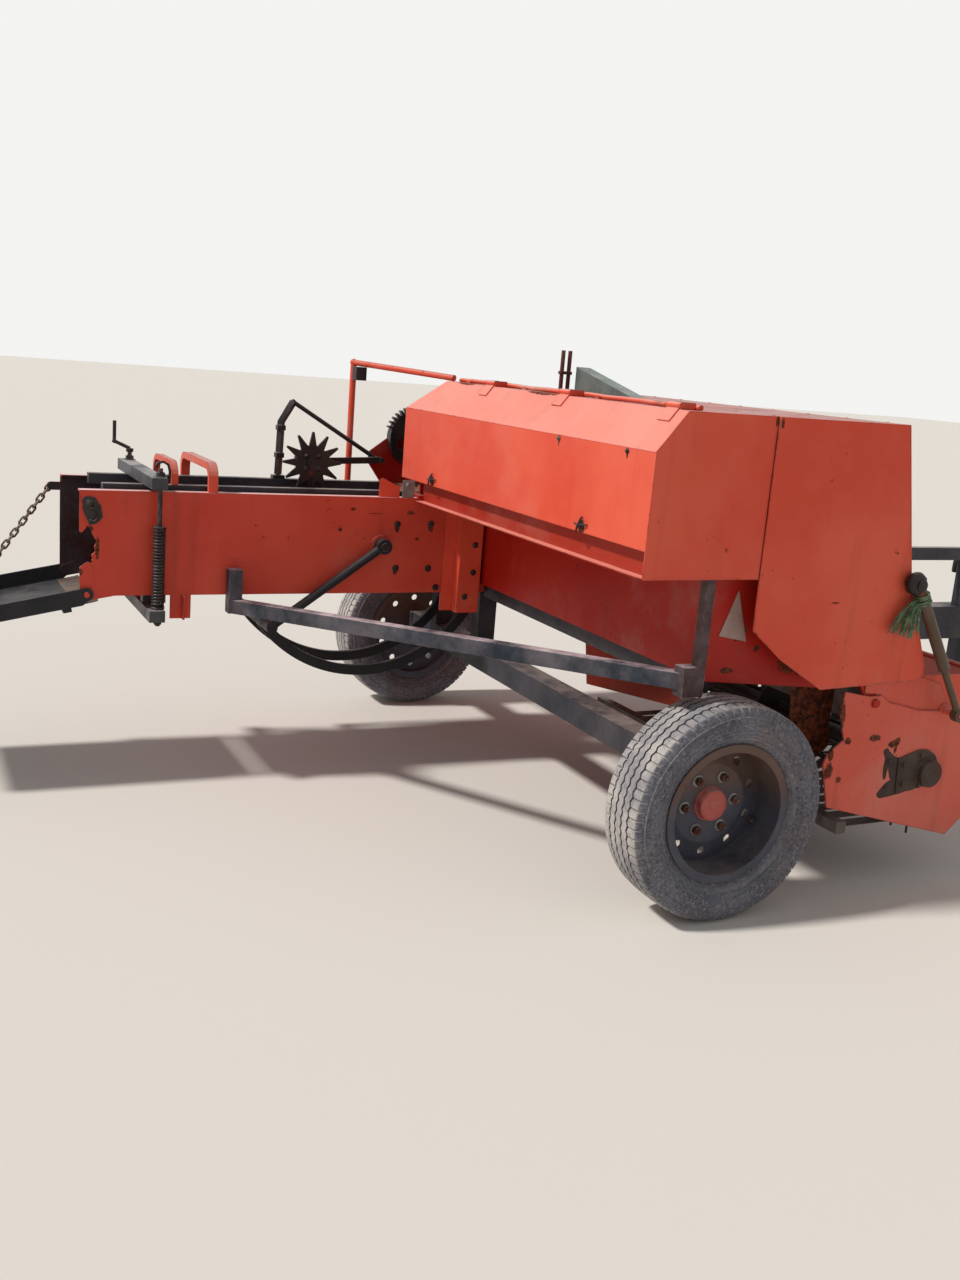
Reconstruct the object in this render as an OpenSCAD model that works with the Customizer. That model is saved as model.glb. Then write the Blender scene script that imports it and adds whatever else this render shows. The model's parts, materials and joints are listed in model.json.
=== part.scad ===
// Towed square baler, standing parked on its two wheels and its drawbar jack.
// +X is forward, +Y is left, +Z is up.
// Sizes below are measured from the wheel line (x), the right rim's outer face (y) and the ground (z).

/* [Running gear] */
// Tyre outer radius
tyre_r = 345; // [320:1:370]
// Tyre section width
tyre_w = 200; // [180:1:215]
// Rim flange radius of a 16 inch rim
rim_r = 221; // [210:1:230]
// How far the left wheel's centre plane stands out from the chamber
wheel_out = 325; // [300:1:350]
// Centre plane of the right wheel
wheel_right_y = 72; // [65:1:80]
// Spindle radius
spindle_r = 20; // [16:1:24]
// Axle beam width and height
axle_size = 90; // [80:1:100]
// Height of the axle beam above the wheel centres
axle_rise = 65; // [55:1:75]

/* [Bale chamber] */
// Outer face of the right chamber wall
chamber_y = 1700; // [1680:1:1720]
// Outer width of the chamber
chamber_w = 500; // [480:1:520]
// Height of the chamber walls
chamber_h = 380; // [370:1:395]
// Underside of the chamber
chamber_z = 688; // [680:1:695]
// Rear end of the chamber, at the top of its walls
chamber_rear_x = -1640; // [-1680:1:-1600]
// How far the lower rear corner stands ahead of the upper one
chamber_rear_slope = 66; // [40:1:90]
// Front end of the chamber
chamber_front_x = 1350; // [1330:1:1400]
// Chamber wall plate
wall_t = 6; // [5:1:8]
// Inward flange along the top of each wall
flange_w = 45; // [30:1:60]

/* [Bale density] */
// Line of the density beams
density_x = -1380; // [-1400:1:-1360]
// Upper and lower density beams, along x
density_beam_w = 56; // [50:1:60]
// Height of the density beams
density_beam_h = 42; // [36:1:46]
// Spring coil outer radius
spring_r = 24; // [20:1:26]
// Spring wire radius
spring_wire_r = 5; // [4:0.5:6]
// Turns of a spring
spring_turns = 24; // [18:1:26]
// Length of a spring
spring_len = 285; // [270:1:300]
// Distance of the springs from the chamber walls
spring_out = 45; // [40:1:50]
// Height of the tension rails on top of the chamber
rail_h = 40; // [36:1:44]

/* [Feeder housing] */
// Outer face of the end panels
panel_y = 50; // [45:1:56]
// Sheet thickness of lid, deck and panels
sheet_t = 4; // [3:1:5]
// Rear face of the lid
lid_x = -365; // [-380:1:-350]
// Height of the lower edge of the lid's end plate and of the skirt below the lid
lid_low_z = 1055; // [1045:1:1065]
// Height of the lower edge of the lid's rear face
lid_edge_z = 1135; // [1130:1:1145]
// Height of the bend below the lid's sloping face
lid_bend_z = 1412; // [1400:1:1425]
// Line of the ridge, where the lid is hinged
ridge_x = -270; // [-280:1:-262]
// Height of the deck's top
deck_z = 1530; // [1520:1:1540]
// Front edge of the deck
deck_front_x = 545; // [530:1:560]
// How far the lid's rear face reaches over the chamber
lid_over = 150; // [130:1:170]
// Rear face of the feeder trough
trough_x = -65; // [-68:1:-62]
// Top of the trough floor
trough_z = 735; // [728:1:742]
// Front edge of the trough floor
trough_front_x = 560; // [550:1:570]
// Inner face of the trough's right end
trough_y = 126; // [122:1:132]

/* [Pickup] */
// Outer face of the right side plate
pickup_y = 80; // [76:1:84]
// Distance from the pickup's left side plate to the chamber wall
pickup_gap = 80; // [72:1:100]
// Reel centre
reel_x = 875; // [865:1:885]
// Reel centre height
reel_z = 385; // [380:1:395]
// Radius of the tine tips
tine_tip_r = 235; // [228:1:240]
// Radius of the stripper bands
band_r = 190; // [180:1:195]
// Rows of tines
tine_rows = 20; // [16:1:21]
// Tine bars on the reel
tine_bars = 4; // [3:1:5]
// Pickup lift axis
lift_x = 600; // [596:1:606]
// Height of the pickup lift axis
lift_z = 640; // [634:1:646]

/* [Needles and knotters] */
// Needle yoke pivot
needle_x = -500; // [-505:1:-495]
// Height of the needle yoke pivot
needle_z = 880; // [875:1:885]
// Radius of the needle curve
needle_r = 540; // [535:1:545]
// Distance from the chamber's middle to each needle
needle_off = 120; // [110:1:125]
// Knotter shaft
knotter_x = -205; // [-208:1:-200]
// Height of the knotter shaft
knotter_z = 1270; // [1262:1:1275]
// Knotter disc radius
knotter_r = 138; // [125:1:140]

/* [Measuring wheel] */
// Centre of the star wheel
star_x = -700; // [-710:1:-690]
// Height of the star wheel's centre
star_z = 1165; // [1160:1:1170]
// Radius of the star wheel's points
star_r = 118; // [110:1:120]
// Points of the star wheel
star_points = 12; // [10:1:12]

/* [Twine box] */
// Rear end of the box
twine_x = -60; // [-80:1:-40]
// Length of the box
twine_len = 700; // [650:1:720]
// Distance that the box stands out from the chamber
twine_w = 360; // [320:1:380]
// Height of the box
twine_h = 408; // [380:1:420]

/* [Front drive and drawbar] */
// Height of the drive shaft
drive_z = 930; // [925:1:940]
// Flywheel radius
flywheel_r = 280; // [260:1:285]
// Flywheel rim width
flywheel_w = 70; // [60:1:80]
// Drawbar pivot
drawbar_x = 1400; // [1390:1:1410]
// Drawbar pivot, measured across
drawbar_y = 1600; // [1595:1:1605]
// Middle height of the drawbar
drawbar_z = 540; // [535:1:545]
// Drawbar length from pivot to hitch eye
drawbar_len = 1850; // [1750:1:1900]
// Drawbar width
drawbar_w = 110; // [100:1:120]
// Drawbar depth
drawbar_h = 160; // [150:1:165]
// Hitch eye bore radius
hitch_bore_r = 16; // [14:0.5:18]
// Distance of the jack from the drawbar pivot
jack_at = 1350; // [1300:1:1400]

/* [Bale chute] */
// Length of the chute
chute_len = 740; // [700:1:760]
// Droop of the chute below level
chute_droop = 11; // [9:1:13]
// Depth of the chute's side rails
chute_side_h = 60; // [54:1:66]

/* [Hidden] */
$fn = 48;

// Gaps that every moving or seated piece uses
run_gap = 0.05;
seat_gap = 0.3;
move_gap = 6;

// Chamber, worked out
chamber_mid = chamber_y + chamber_w / 2;
chamber_left = chamber_y + chamber_w;
chamber_top = chamber_z + chamber_h;
chamber_low_x = chamber_rear_x + chamber_rear_slope;
floor_rear_x = chamber_low_x + 14;
deck_plate_t = 10;
deck_plate_x = -350;
cover_x = 130;
feed_x = [60, 620];
feed_z = [chamber_z + 60, chamber_top - 40];
rear_holes = [[25, 38, 16], [40, 68, 10]];
rear_tear = [[-60, 123], [24, 127], [40, 143], [48, 163], [60, 183], [52, 200], [56, 218], [42, 232],
             [46, 246], [38, 260], [-60, 263]];

// Needles, worked out
needle_half = 20;
needle_t = 20;
needle_tip = -29;
needle_root = 215.4;
needle_gap = 25;
needle_ys = [chamber_mid - needle_off, chamber_mid + needle_off];
yoke_arm_r = 17;
arm_pivot = [-380, 1180];
yoke_out = 34;
yoke_hub_half = 20;

// Wheels, worked out
wheel_left_y = chamber_left + wheel_out;
axle_z = tyre_r + axle_rise;
hub_in = 118;
disc_in = 26;
hub_back = 90;
spindle_in = 9;
knuckle_t = 24;
rim_half = 75;
rim_lip = 20;
rim_lip_t = 6;

// Density gear, worked out
rail_w = 40;
rail_z = chamber_top + 17 - rail_h;
rail_y_off = 160;
rail_rear_x = chamber_rear_x + 90;
beam_up_z = rail_z + rail_h;
beam_low_z = chamber_z - 83;
beam_reach = spring_out + 45;
spring_z = beam_low_z + density_beam_h + 8;

// Hood, worked out
lid_front_x = 40;
lid_left_y = chamber_y + lid_over;
hinge_r = 9;
hinge_pin_r = 5;
hinge_z = deck_z + hinge_r + 2;
hinge_x = ridge_x + 4;
hinge_ys = [130, 750, 1300];
hinge_len = 60;
ridge_left_y = chamber_y - 20;
deck_left_y = chamber_y - 5;
frame_size = 50;
frame_y = panel_y + 14;
upright_x = -150;
post_x = -115;
post_w = 30;
brace_x = -1085;
brace_z = 650;
brace_right_z = 745;
brace_low_z = 700;
brace_top_z = 790;
trough_top = 1210;
fork_rail = [[225, 1215], [275, 1275]];
fork_y = chamber_y - 200;
panel_front = [[45, deck_z], [deck_front_x, deck_z], [644, 1051], [757, 765], [757, 738], [735, 718],
               [335, 705], [162, 807], [45, 900]];

// Pickup, worked out
pickup_t = 6;
pickup_left = chamber_y - pickup_gap;
pickup_w = pickup_left - pickup_y;
row_y = pickup_y + 45;
row_step = (pickup_w - 90) / tine_rows;
lift_pin = [917, 600];
lift_top = [652, 1040];
lift_lug_t = 12;
guard_pivot = [1010, 540];

// Front drive, worked out
front_plate_t = 14;
gearbox_len = 330;
gearbox_x = chamber_front_x + front_plate_t;
flywheel_x = gearbox_x + gearbox_len + 45;
shaft_r = 17.45;
hitch_r = 48;

// Twine box, worked out
twine_low = chamber_z + 72;
twine_top = twine_low + twine_h;
twine_hinge = [chamber_left + 10, twine_top + 14];
twine_hinge_xs = [twine_x + 60, twine_x + twine_len - 80];

// Chute, worked out
chute_hinge_x = chamber_low_x - 40;
chute_hinge_z = chamber_z + 6;
chute_ear_r = 24;
chute_pin_r = 10;
chain_y = chamber_left + 28;
chain_pin_r = 5;
chain_eye = [chamber_rear_x - 32, chamber_top - 48];
chain_hook = [-325, 12];
link_wire = 4;
link_bend = 9.5;
link_count = 17;
link_gap = 0.4;

// Lower pin of the chain, carried round with the chute's droop
chain_low = [chute_hinge_x, chute_hinge_z]
    + [chain_hook[0] * cos(chute_droop) - chain_hook[1] * sin(chute_droop),
       chain_hook[0] * sin(chute_droop) + chain_hook[1] * cos(chute_droop)];
chain_run = chain_low - chain_eye;

// Links hang inside each other and over both pins with the same small gap
link_step = (norm(chain_run) + 2 * chain_pin_r + 2 * link_gap - link_gap) / link_count;
link_straight = link_step + link_gap - 2 * (link_bend - link_wire);
chain_tilt = atan2(chain_run[0], chain_run[1]);

// Whole machine's reach, from which the origin is set below the middle of its box
reach_front = drawbar_x + drawbar_len + hitch_r;
reach_rear = chute_hinge_x - chute_len * cos(chute_droop) - 24 * sin(chute_droop);
reach_right = wheel_right_y - tyre_w / 2;
reach_left = wheel_left_y + tyre_w / 2;
origin = [(reach_front + reach_rear) / 2, (reach_right + reach_left) / 2, 0];

// Colours
paint = [0.86, 0.25, 0.14];
paint_dark = [0.52, 0.12, 0.08];
steel_dark = [0.16, 0.18, 0.20];
steel_blue = [0.34, 0.38, 0.42];
rubber_grey = [0.27, 0.29, 0.31];
steel_bare = [0.55, 0.55, 0.53];
olive = [0.35, 0.36, 0.24];
plate_pale = [0.78, 0.75, 0.70];

// A plate in the x-z plane, from y to y + t
module plate_xz(y, t) {
    translate([0, y + t, 0])
        rotate([90, 0, 0])
            linear_extrude(t)
                children();
}

// A plate in the y-z plane, from x to x + t
module plate_yz(x, t) {
    translate([x, 0, 0])
        rotate([90, 0, 90])
            linear_extrude(t)
                children();
}

// A round bar along y
module rod_y(x, y0, y1, z, r) {
    translate([x, y0, z])
        rotate([-90, 0, 0])
            cylinder(h = y1 - y0, r = r);
}

// A round bar along x
module rod_x(x0, x1, y, z, r) {
    translate([x0, y, z])
        rotate([0, 90, 0])
            cylinder(h = x1 - x0, r = r);
}

// A round bar between two points
module rod(a, b, r) {
    d = b - a;
    translate(a)
        rotate([0, acos(d[2] / norm(d)), atan2(d[1], d[0])])
            cylinder(h = norm(d), r = r);
}

// A square bar between two points, w across and h deep
module bar(a, b, w, h) {
    d = b - a;
    translate(a)
        rotate([0, -asin(d[2] / norm(d)), atan2(d[1], d[0])])
            translate([0, -w / 2, -h / 2])
                cube([norm(d), w, h]);
}

// A box given by its low and high corners
module block(low, high) {
    translate(low)
        cube(high - low);
}

// Outline of a chamber wall, in x and z
module wall_outline() {
    polygon([
        [chamber_low_x, chamber_z],
        [chamber_front_x, chamber_z],
        [chamber_front_x, chamber_top],
        [chamber_rear_x, chamber_top]
    ]);
}

// One chamber wall with its top flange; side is 1 for the right wall and -1 for the left one
module chamber_wall(side) {
    outer = side > 0 ? chamber_y : chamber_left - wall_t;
    inner = side > 0 ? chamber_y : chamber_left - flange_w;
    plate_xz(outer, wall_t)
        wall_outline();
    block([chamber_rear_x, inner, chamber_top - wall_t], [chamber_front_x, inner + flange_w, chamber_top]);
    plate_xz(outer, wall_t)
        union() {
            translate([chute_hinge_x, chute_hinge_z])
                circle(r = chute_ear_r);
            polygon([[chute_hinge_x, chute_hinge_z - chute_ear_r], [chamber_low_x + 60, chamber_z],
                     [chamber_low_x + 60, chamber_z + 70], [chute_hinge_x, chute_hinge_z + chute_ear_r]]);
        }
    pivot_pin(side, chute_hinge_x, chute_hinge_z, chute_pin_r, 14);
    pivot_pin(side, needle_x, needle_z, 16, yoke_out + yoke_hub_half + 3);
    pivot_pin(side, needle_x, needle_z, 40, yoke_out - yoke_hub_half - 2);
}

// A pin that stands out from a chamber wall
module pivot_pin(side, x, z, r, reach) {
    if (side > 0)
        rod_y(x, chamber_y - reach, chamber_y + 1, z, r);
    else
        rod_y(x, chamber_left - 1, chamber_left + reach, z, r);
}

module chamber_wall_right() {
    color(paint)
        difference() {
            chamber_wall(1);
            block([feed_x[0], chamber_y - 1, feed_z[0]], [feed_x[1], chamber_y + wall_t + 1, feed_z[1]]);
            for (hole = rear_holes)
                rod_y(chamber_rear_x + hole[0], chamber_y - 1, chamber_y + wall_t + 1,
                      chamber_top - hole[1], hole[2]);
            plate_xz(chamber_y - 1, wall_t + 2)
                polygon([for (p = rear_tear) [chamber_rear_x + p[0], chamber_top - p[1]]]);
        }
    color(paint)
        beam_stop();
}

// Angle below the right wall, ahead of the lower density beam
module beam_stop() {
    x = density_x + 64;
    block([x, chamber_y, chamber_z - 88], [x + 76, chamber_y + wall_t, chamber_z + 2]);
    block([x + 42, chamber_y - 30, chamber_z - 88], [x + 48, chamber_y + wall_t, chamber_z]);
}

// Left wall with the bracket and pin that hold the chute's chain
module chamber_wall_left() {
    color(paint) {
        chamber_wall(-1);
        plate_xz(chamber_left, 6)
            union() {
                translate(chain_eye)
                    circle(r = 16);
                polygon([chain_eye + [0, -16], [chamber_rear_x + 70, chain_eye[1] - 16],
                         [chamber_rear_x + 70, chain_eye[1] + 16], chain_eye + [0, 16]]);
            }
        rod_y(chain_eye[0], chamber_left, chain_y + 18, chain_eye[1], chain_pin_r);
    }
}

// Floor with the two needle slots
module chamber_floor() {
    color(paint_dark)
        difference() {
            block([floor_rear_x, chamber_y + wall_t, chamber_z],
                  [chamber_front_x, chamber_left - wall_t, chamber_z + wall_t]);
            needle_slots(chamber_z - 1, chamber_z + wall_t + 1);
        }
}

// The two slots that the needles pass through
module needle_slots(z0, z1) {
    for (y = needle_ys)
        block([-45, y - needle_gap, z0], [75, y + needle_gap, z1]);
}

// Cover over the front half of the chamber
module chamber_cover() {
    color(paint)
        union() {
            block([cover_x, chamber_y, chamber_top], [chamber_front_x, chamber_left, chamber_top + 4]);
            for (x = [330, 640, 950, 1250])
                block([x, chamber_y + 20, chamber_top + 4], [x + 40, chamber_left - 20, chamber_top + 26]);
        }
}

// Two tension rails on top of the open rear half
module tension_rails() {
    color(steel_dark)
        for (side = [-1, 1])
            block([rail_rear_x, chamber_mid + side * rail_y_off - rail_w / 2, rail_z],
                  [deck_plate_x, chamber_mid + side * rail_y_off + rail_w / 2, rail_z + rail_h]);
}

// Beam above the rails and beam below the floor, joined by the spring rods
module density_beams() {
    color(steel_blue) {
        difference() {
            block([density_x - density_beam_w / 2, chamber_y - beam_reach, beam_up_z],
                  [density_x + density_beam_w / 2, chamber_left + beam_reach, beam_up_z + density_beam_h]);
            spring_lines(beam_up_z - 1, beam_up_z + density_beam_h + 1, 9 + run_gap);
        }
        difference() {
            union() {
                block([density_x - density_beam_w / 2, chamber_y - beam_reach, beam_low_z],
                      [density_x + density_beam_w / 2, chamber_left + beam_reach,
                       beam_low_z + density_beam_h]);
                for (y = [chamber_y + 60, chamber_left - 100])
                    block([density_x - 24, y, beam_low_z + density_beam_h],
                          [density_x + 60, y + 40, chamber_z]);
            }
            spring_lines(beam_low_z - 1, beam_low_z + density_beam_h + 1, 9 + run_gap);
        }
    }
}

// Something round on both spring lines
module spring_lines(z0, z1, r) {
    for (y = [chamber_y - spring_out, chamber_left + spring_out])
        translate([density_x + 10, y, z0])
            cylinder(h = z1 - z0, r = r);
}

// Threaded rod, coil, washers and nut of each side
module density_springs() {
    pitch = spring_len / spring_turns;
    color(steel_dark)
        for (y = [chamber_y - spring_out, chamber_left + spring_out])
            translate([density_x + 10, y, 0]) {
                translate([0, 0, beam_low_z - 22])
                    cylinder(h = beam_up_z + density_beam_h + 30 - beam_low_z + 22, r = 9);
                translate([0, 0, spring_z])
                    rotate_extrude()
                        union() {
                            translate([8, 0])
                                square([spring_r - spring_wire_r - 8, spring_len]);
                            for (k = [0 : spring_turns - 1])
                                translate([spring_r - spring_wire_r, (k + 0.5) * pitch])
                                    circle(r = spring_wire_r, $fn = 16);
                        }
                for (z = [beam_low_z + density_beam_h, spring_z + spring_len])
                    translate([0, 0, z])
                        cylinder(h = 8, r = spring_r);
                for (z = [beam_low_z - 16, beam_up_z + density_beam_h])
                    translate([0, 0, z])
                        cylinder(h = 16, r = 16, $fn = 6);
            }
}

// Crank handle on the left screw
module density_crank() {
    x = density_x + 10;
    y = chamber_left + spring_out;
    z = beam_up_z + density_beam_h + 30;
    color(steel_dark) {
        translate([x, y, z])
            cylinder(h = 14, r = 14);
        rod([x, y, z + 14], [x - 60, y, z + 40], 7);
        translate([x - 60, y, z + 40])
            sphere(r = 9);
        rod([x - 60, y, z + 40], [x - 60, y, z + 120], 7);
    }
}

// Outline of an arch's edge in y and z, with rounded shoulders
function arch_edge(y0, y1, z0, z1, r) = concat(
    [[y0, z0]],
    [for (a = [180 : -15 : 90]) [y0 + r + r * cos(a), z1 - r + r * sin(a)]],
    [for (a = [90 : -15 : 0]) [y1 - r + r * cos(a), z1 - r + r * sin(a)]],
    [[y1, z0]]
);

// An arch of flat bar, from x and t thick, between y0 and y1
module arch(x, t, y0, y1, z0, z1, band) {
    round_r = 62;
    plate_yz(x, t)
        difference() {
            polygon(arch_edge(y0, y1, z0, z1, round_r));
            polygon(arch_edge(y0 + band, y1 - band, z0 - 1, z1 - band, round_r - band));
        }
}

// The arch that ties the wall tops, and the lower one that ties both rails
module chamber_arches() {
    color(paint)
        arch(-1182, 34, chamber_y + 8, chamber_left - 8, chamber_top, chamber_top + 108, 26);
    color(paint_dark)
        arch(-1303, 24, chamber_mid - rail_y_off - 14, chamber_mid + rail_y_off + 14, beam_up_z,
             beam_up_z + 86, 22);
}

// Plate that closes the front of the chamber
module front_plate() {
    color(paint)
        plate_yz(chamber_front_x, front_plate_t)
            difference() {
                translate([chamber_y - 20, chamber_z - 8])
                    square([chamber_w + 40, chamber_h + 60]);
                for (y = [chamber_y + 30, chamber_left - 30], z = [chamber_z + 30, chamber_top + 20])
                    translate([y, z])
                        circle(r = 9);
            }
}

// Cast gearbox on the front plate, with the drive shaft's bearing tube
module gearbox() {
    cy = chamber_mid;
    color(steel_dark)
        difference() {
            union() {
                block([gearbox_x, cy - 150, drive_z - 165], [gearbox_x + 200, cy + 150, drive_z + 120]);
                translate([gearbox_x + 200, cy, drive_z])
                    rotate([0, 90, 0])
                        cylinder(h = 40, r = 115);
                translate([gearbox_x + 240, cy, drive_z])
                    rotate([0, 90, 0])
                        cylinder(h = gearbox_len - 240, r = 62);
                for (y = [cy - 175, cy + 151])
                    block([gearbox_x, y, drive_z - 190], [gearbox_x + 60, y + 24, drive_z + 150]);
                block([gearbox_x, cy - 175, drive_z - 190], [gearbox_x + 60, cy + 175, drive_z - 165]);
                translate([gearbox_x + 100, cy, drive_z + 120])
                    cylinder(h = 24, r = 70);
            }
            rod_x(gearbox_x + 200, gearbox_x + gearbox_len + 1, cy, drive_z, 25 + run_gap);
        }
}

// Axle beam with its saddles under the chamber, its leg under the feeder and both spindles
module axle() {
    half = axle_size / 2;
    right_in = wheel_right_y + hub_in;
    left_in = wheel_left_y - hub_in;
    color(steel_dark) {
        block([-half, right_in, axle_z - half], [half, left_in, axle_z + half]);
        for (y = [right_in, left_in - knuckle_t])
            block([-half - 6, y, tyre_r - 55], [half + 6, y + knuckle_t, axle_z + half]);
        rod_y(0, wheel_right_y + spindle_in, right_in, tyre_r, spindle_r);
        rod_y(0, left_in, wheel_left_y - spindle_in, tyre_r, spindle_r);
        rod_y(0, right_in - 16, right_in, tyre_r, 32);
        rod_y(0, left_in, left_in + 16, tyre_r, 32);
        for (y = [chamber_y + 10, chamber_left - 70])
            block([-40, y, axle_z + half], [40, y + 60, chamber_z]);
        block([-30, 210, axle_z + half], [30, 270, trough_z - 5 - 60]);
        block([-30, 210, trough_z - 5 - 60], [30, chamber_y, trough_z - 5]);
    }
}

// Pillars that stiffen the chamber walls beside the feed opening: a backing plate with a channel on it
module chamber_pillars() {
    low = chamber_z - 74;
    high = chamber_top - 44;
    color(paint)
        for (side = [-1, 1]) {
            face = side < 0 ? chamber_y : chamber_left;
            block([-229, min(face, face + side * 8), low], [-72, max(face, face + side * 8), high]);
            translate([-178, side < 0 ? face - 60 : face, low])
                linear_extrude(high - low)
                    difference() {
                        square([96, 60]);
                        translate([6, side < 0 ? 6 : -1])
                            square([84, 55]);
                    }
        }
}

// Long tube from the chamber to the right-hand upright, with its stub on the chamber wall
module side_brace() {
    left = [brace_x, chamber_y - frame_size / 2, brace_z];
    right = [upright_x, frame_y + frame_size / 2, brace_right_z];
    color(steel_dark) {
        bar(left, right, frame_size, frame_size);
        block([brace_x - frame_size / 2, chamber_y - frame_size, brace_z - frame_size / 2],
              [brace_x + frame_size / 2, chamber_y, brace_top_z]);
        block([upright_x - frame_size / 2, frame_y, brace_low_z],
              [post_x + post_w / 2, frame_y + frame_size, brace_top_z]);
        block([post_x - post_w / 2, frame_y, brace_low_z],
              [post_x + post_w / 2, frame_y + post_w, deck_z - sheet_t]);
    }
}

// One of the two lugs inside the pickup's side plates, from y, with its pin
module lift_lug(y, pin_y0, pin_y1) {
    plate_xz(y, lift_lug_t)
        union() {
            polygon([[530, trough_z - 2], [530, trough_z - 24], [lift_x - 24, lift_z - 8],
                     [lift_x + 24, lift_z + 8],
                     [576, trough_z - 2]]);
            translate([lift_x, lift_z])
                circle(r = 26);
        }
    rod_y(lift_x, pin_y0, pin_y1, lift_z, 14);
}

// Floor, rear wall and right end of the feeder trough, with the pickup's lugs
module feeder_trough() {
    color(paint_dark) {
        block([trough_x, trough_y - 5, trough_z - 5], [trough_front_x, chamber_y, trough_z]);
        block([trough_x, trough_y, trough_z], [trough_x + 5, chamber_y, trough_top]);
        plate_xz(trough_y - 5, 5)
            polygon([[trough_x, trough_z - 5], [395, 690], [trough_front_x, 700],
                     [trough_front_x, trough_top],
                     [trough_x, trough_top]]);
        lift_lug(pickup_y + pickup_t + 4, pickup_y - 8, pickup_y + pickup_t + 4 + lift_lug_t);
        lift_lug(pickup_left - pickup_t - 4 - lift_lug_t, pickup_left - pickup_t - 4 - lift_lug_t,
                 pickup_left + 8);
        block([530, pickup_y + pickup_t + 4, 706], [trough_front_x, trough_y, trough_z - 2]);
        plate_xz(trough_y + 79, 4)
            difference() {
                polygon([[350, trough_z - 3], [540, trough_z - 3], [536, 527], [546, 470], [505, 432],
                         [430, 440],
                         [420, 520], [372, 520]]);
                for (p = [[410, 582], [393, 549], [440, 564], [467, 566], [518, 542], [449, 526],
                          [385, 612], [500, 600]])
                    translate(p)
                        circle(r = 5.5, $fn = 24);
            }
    }
}

// Uprights that carry the deck, apart from the brace's own, with the rail of the feeder's carriage
module feeder_frame() {
    half = frame_size / 2;
    top = deck_z - sheet_t;
    color(steel_dark) {
        block([500 - half, frame_y, 1060], [500 + half, frame_y + frame_size, top]);
        for (x = [10, 490])
            block([x, chamber_y - frame_size, 1100], [x + frame_size, chamber_y, top]);
        block([10, frame_y + frame_size, top - frame_size], [60, chamber_y - frame_size, top]);
        block([10, chamber_y - frame_size, top - frame_size], [500 + half, chamber_y, top]);
        block([post_x + post_w / 2, frame_y, top - frame_size], [500 - half, frame_y + frame_size, top]);
        block([fork_rail[0][0], frame_y, fork_rail[0][1]], [fork_rail[1][0], chamber_y, fork_rail[1][1]]);
        for (y = [frame_y, chamber_y - frame_size])
            block([fork_rail[0][0], y, fork_rail[1][1]],
                  [fork_rail[1][0], y + frame_size, top - frame_size]);
    }
}

// A point on one edge of a feeder tine at share t of its length; side is -1 or 1
function fork_edge(y, top, tip, t, side) = [y + 70 * t * t + side * (19 * (1 - t) + 4),
                                            top + (tip - top) * t];

// One curved tine of the feeder, in y and z, from its root to its tip
module fork_outline(y, top, tip) {
    polygon(concat(
        [for (k = [0 : 6]) fork_edge(y, top, tip, k / 6, -1)],
        [for (k = [6 : -1 : 0]) fork_edge(y, top, tip, k / 6, 1)]
    ));
}

// Carriage that rakes the crop across the trough, on a sleeve round its rail
module feeder_carriage() {
    low = fork_rail[0];
    high = fork_rail[1];
    bar_z = low[1] - 15;
    color(steel_bare) {
        difference() {
            block([low[0] - 20, fork_y - 110, low[1] - 15], [high[0] + 20, fork_y + 110, high[1] + 15]);
            block([low[0] - seat_gap, fork_y - 111, low[1] - seat_gap],
                  [high[0] + seat_gap, fork_y + 111, high[1] + seat_gap]);
        }
        block([10, fork_y - 20, bar_z - 40], [490, fork_y + 20, bar_z]);
        for (x = [20, 132, 244, 356, 468])
            plate_yz(x, 12)
                fork_outline(fork_y, bar_z - 20, trough_z + 35);
    }
}

// Fixed outer panel ahead of the lid
module end_panel() {
    color(paint)
        union() {
            plate_xz(panel_y, sheet_t)
                union() {
                    polygon(panel_front);
                    translate(lift_top)
                        circle(r = 30);
                }
            rod_y(lift_top[0], 6, panel_y + sheet_t, lift_top[1], 12);
        }
}

// Deck over the feeder, bent down at the front, with the hinge pins of the lid
module top_deck() {
    rear = ridge_x + 14;
    color(paint) {
        difference() {
            plate_xz(panel_y + sheet_t, deck_left_y - panel_y - sheet_t)
                polygon([[rear, deck_z - sheet_t], [deck_front_x - sheet_t, deck_z - sheet_t], [640, 1051],
                         [644, 1051], [deck_front_x, deck_z], [rear, deck_z]]);
            block([rear - 1, panel_y, deck_z - sheet_t - 1],
                  [lid_front_x + 10, panel_y + sheet_t + move_gap, deck_z + 1]);
        }
        for (y = hinge_ys) {
            for (side = [y - hinge_len / 2 - 8.5, y + hinge_len / 2 + 0.5])
                plate_xz(side, 8)
                    union() {
                        translate([hinge_x, hinge_z])
                            circle(r = hinge_r);
                        translate([hinge_x + 4, deck_z])
                            square([40, hinge_z + hinge_r - deck_z]);
                    }
            rod_y(hinge_x, y - hinge_len / 2 - 8, y + hinge_len / 2 + 8, hinge_z, hinge_pin_r);
        }
    }
}

// Fixed skirt behind the lid's lower edge, with its lip and the gusset to the brace's upright
module lid_skirt() {
    back = lid_x + 34;
    start = panel_y + sheet_t + move_gap;
    high = lid_edge_z + 40;
    color(paint) {
        plate_xz(start, chamber_y - start)
            polygon([[lid_x, lid_low_z], [back + sheet_t, lid_low_z], [back + sheet_t, high], [back, high],
                     [back, lid_low_z + sheet_t], [lid_x, lid_low_z + sheet_t]]);
        block([back, start, lid_low_z], [post_x + post_w / 2, start + sheet_t, high]);
    }
}

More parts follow.
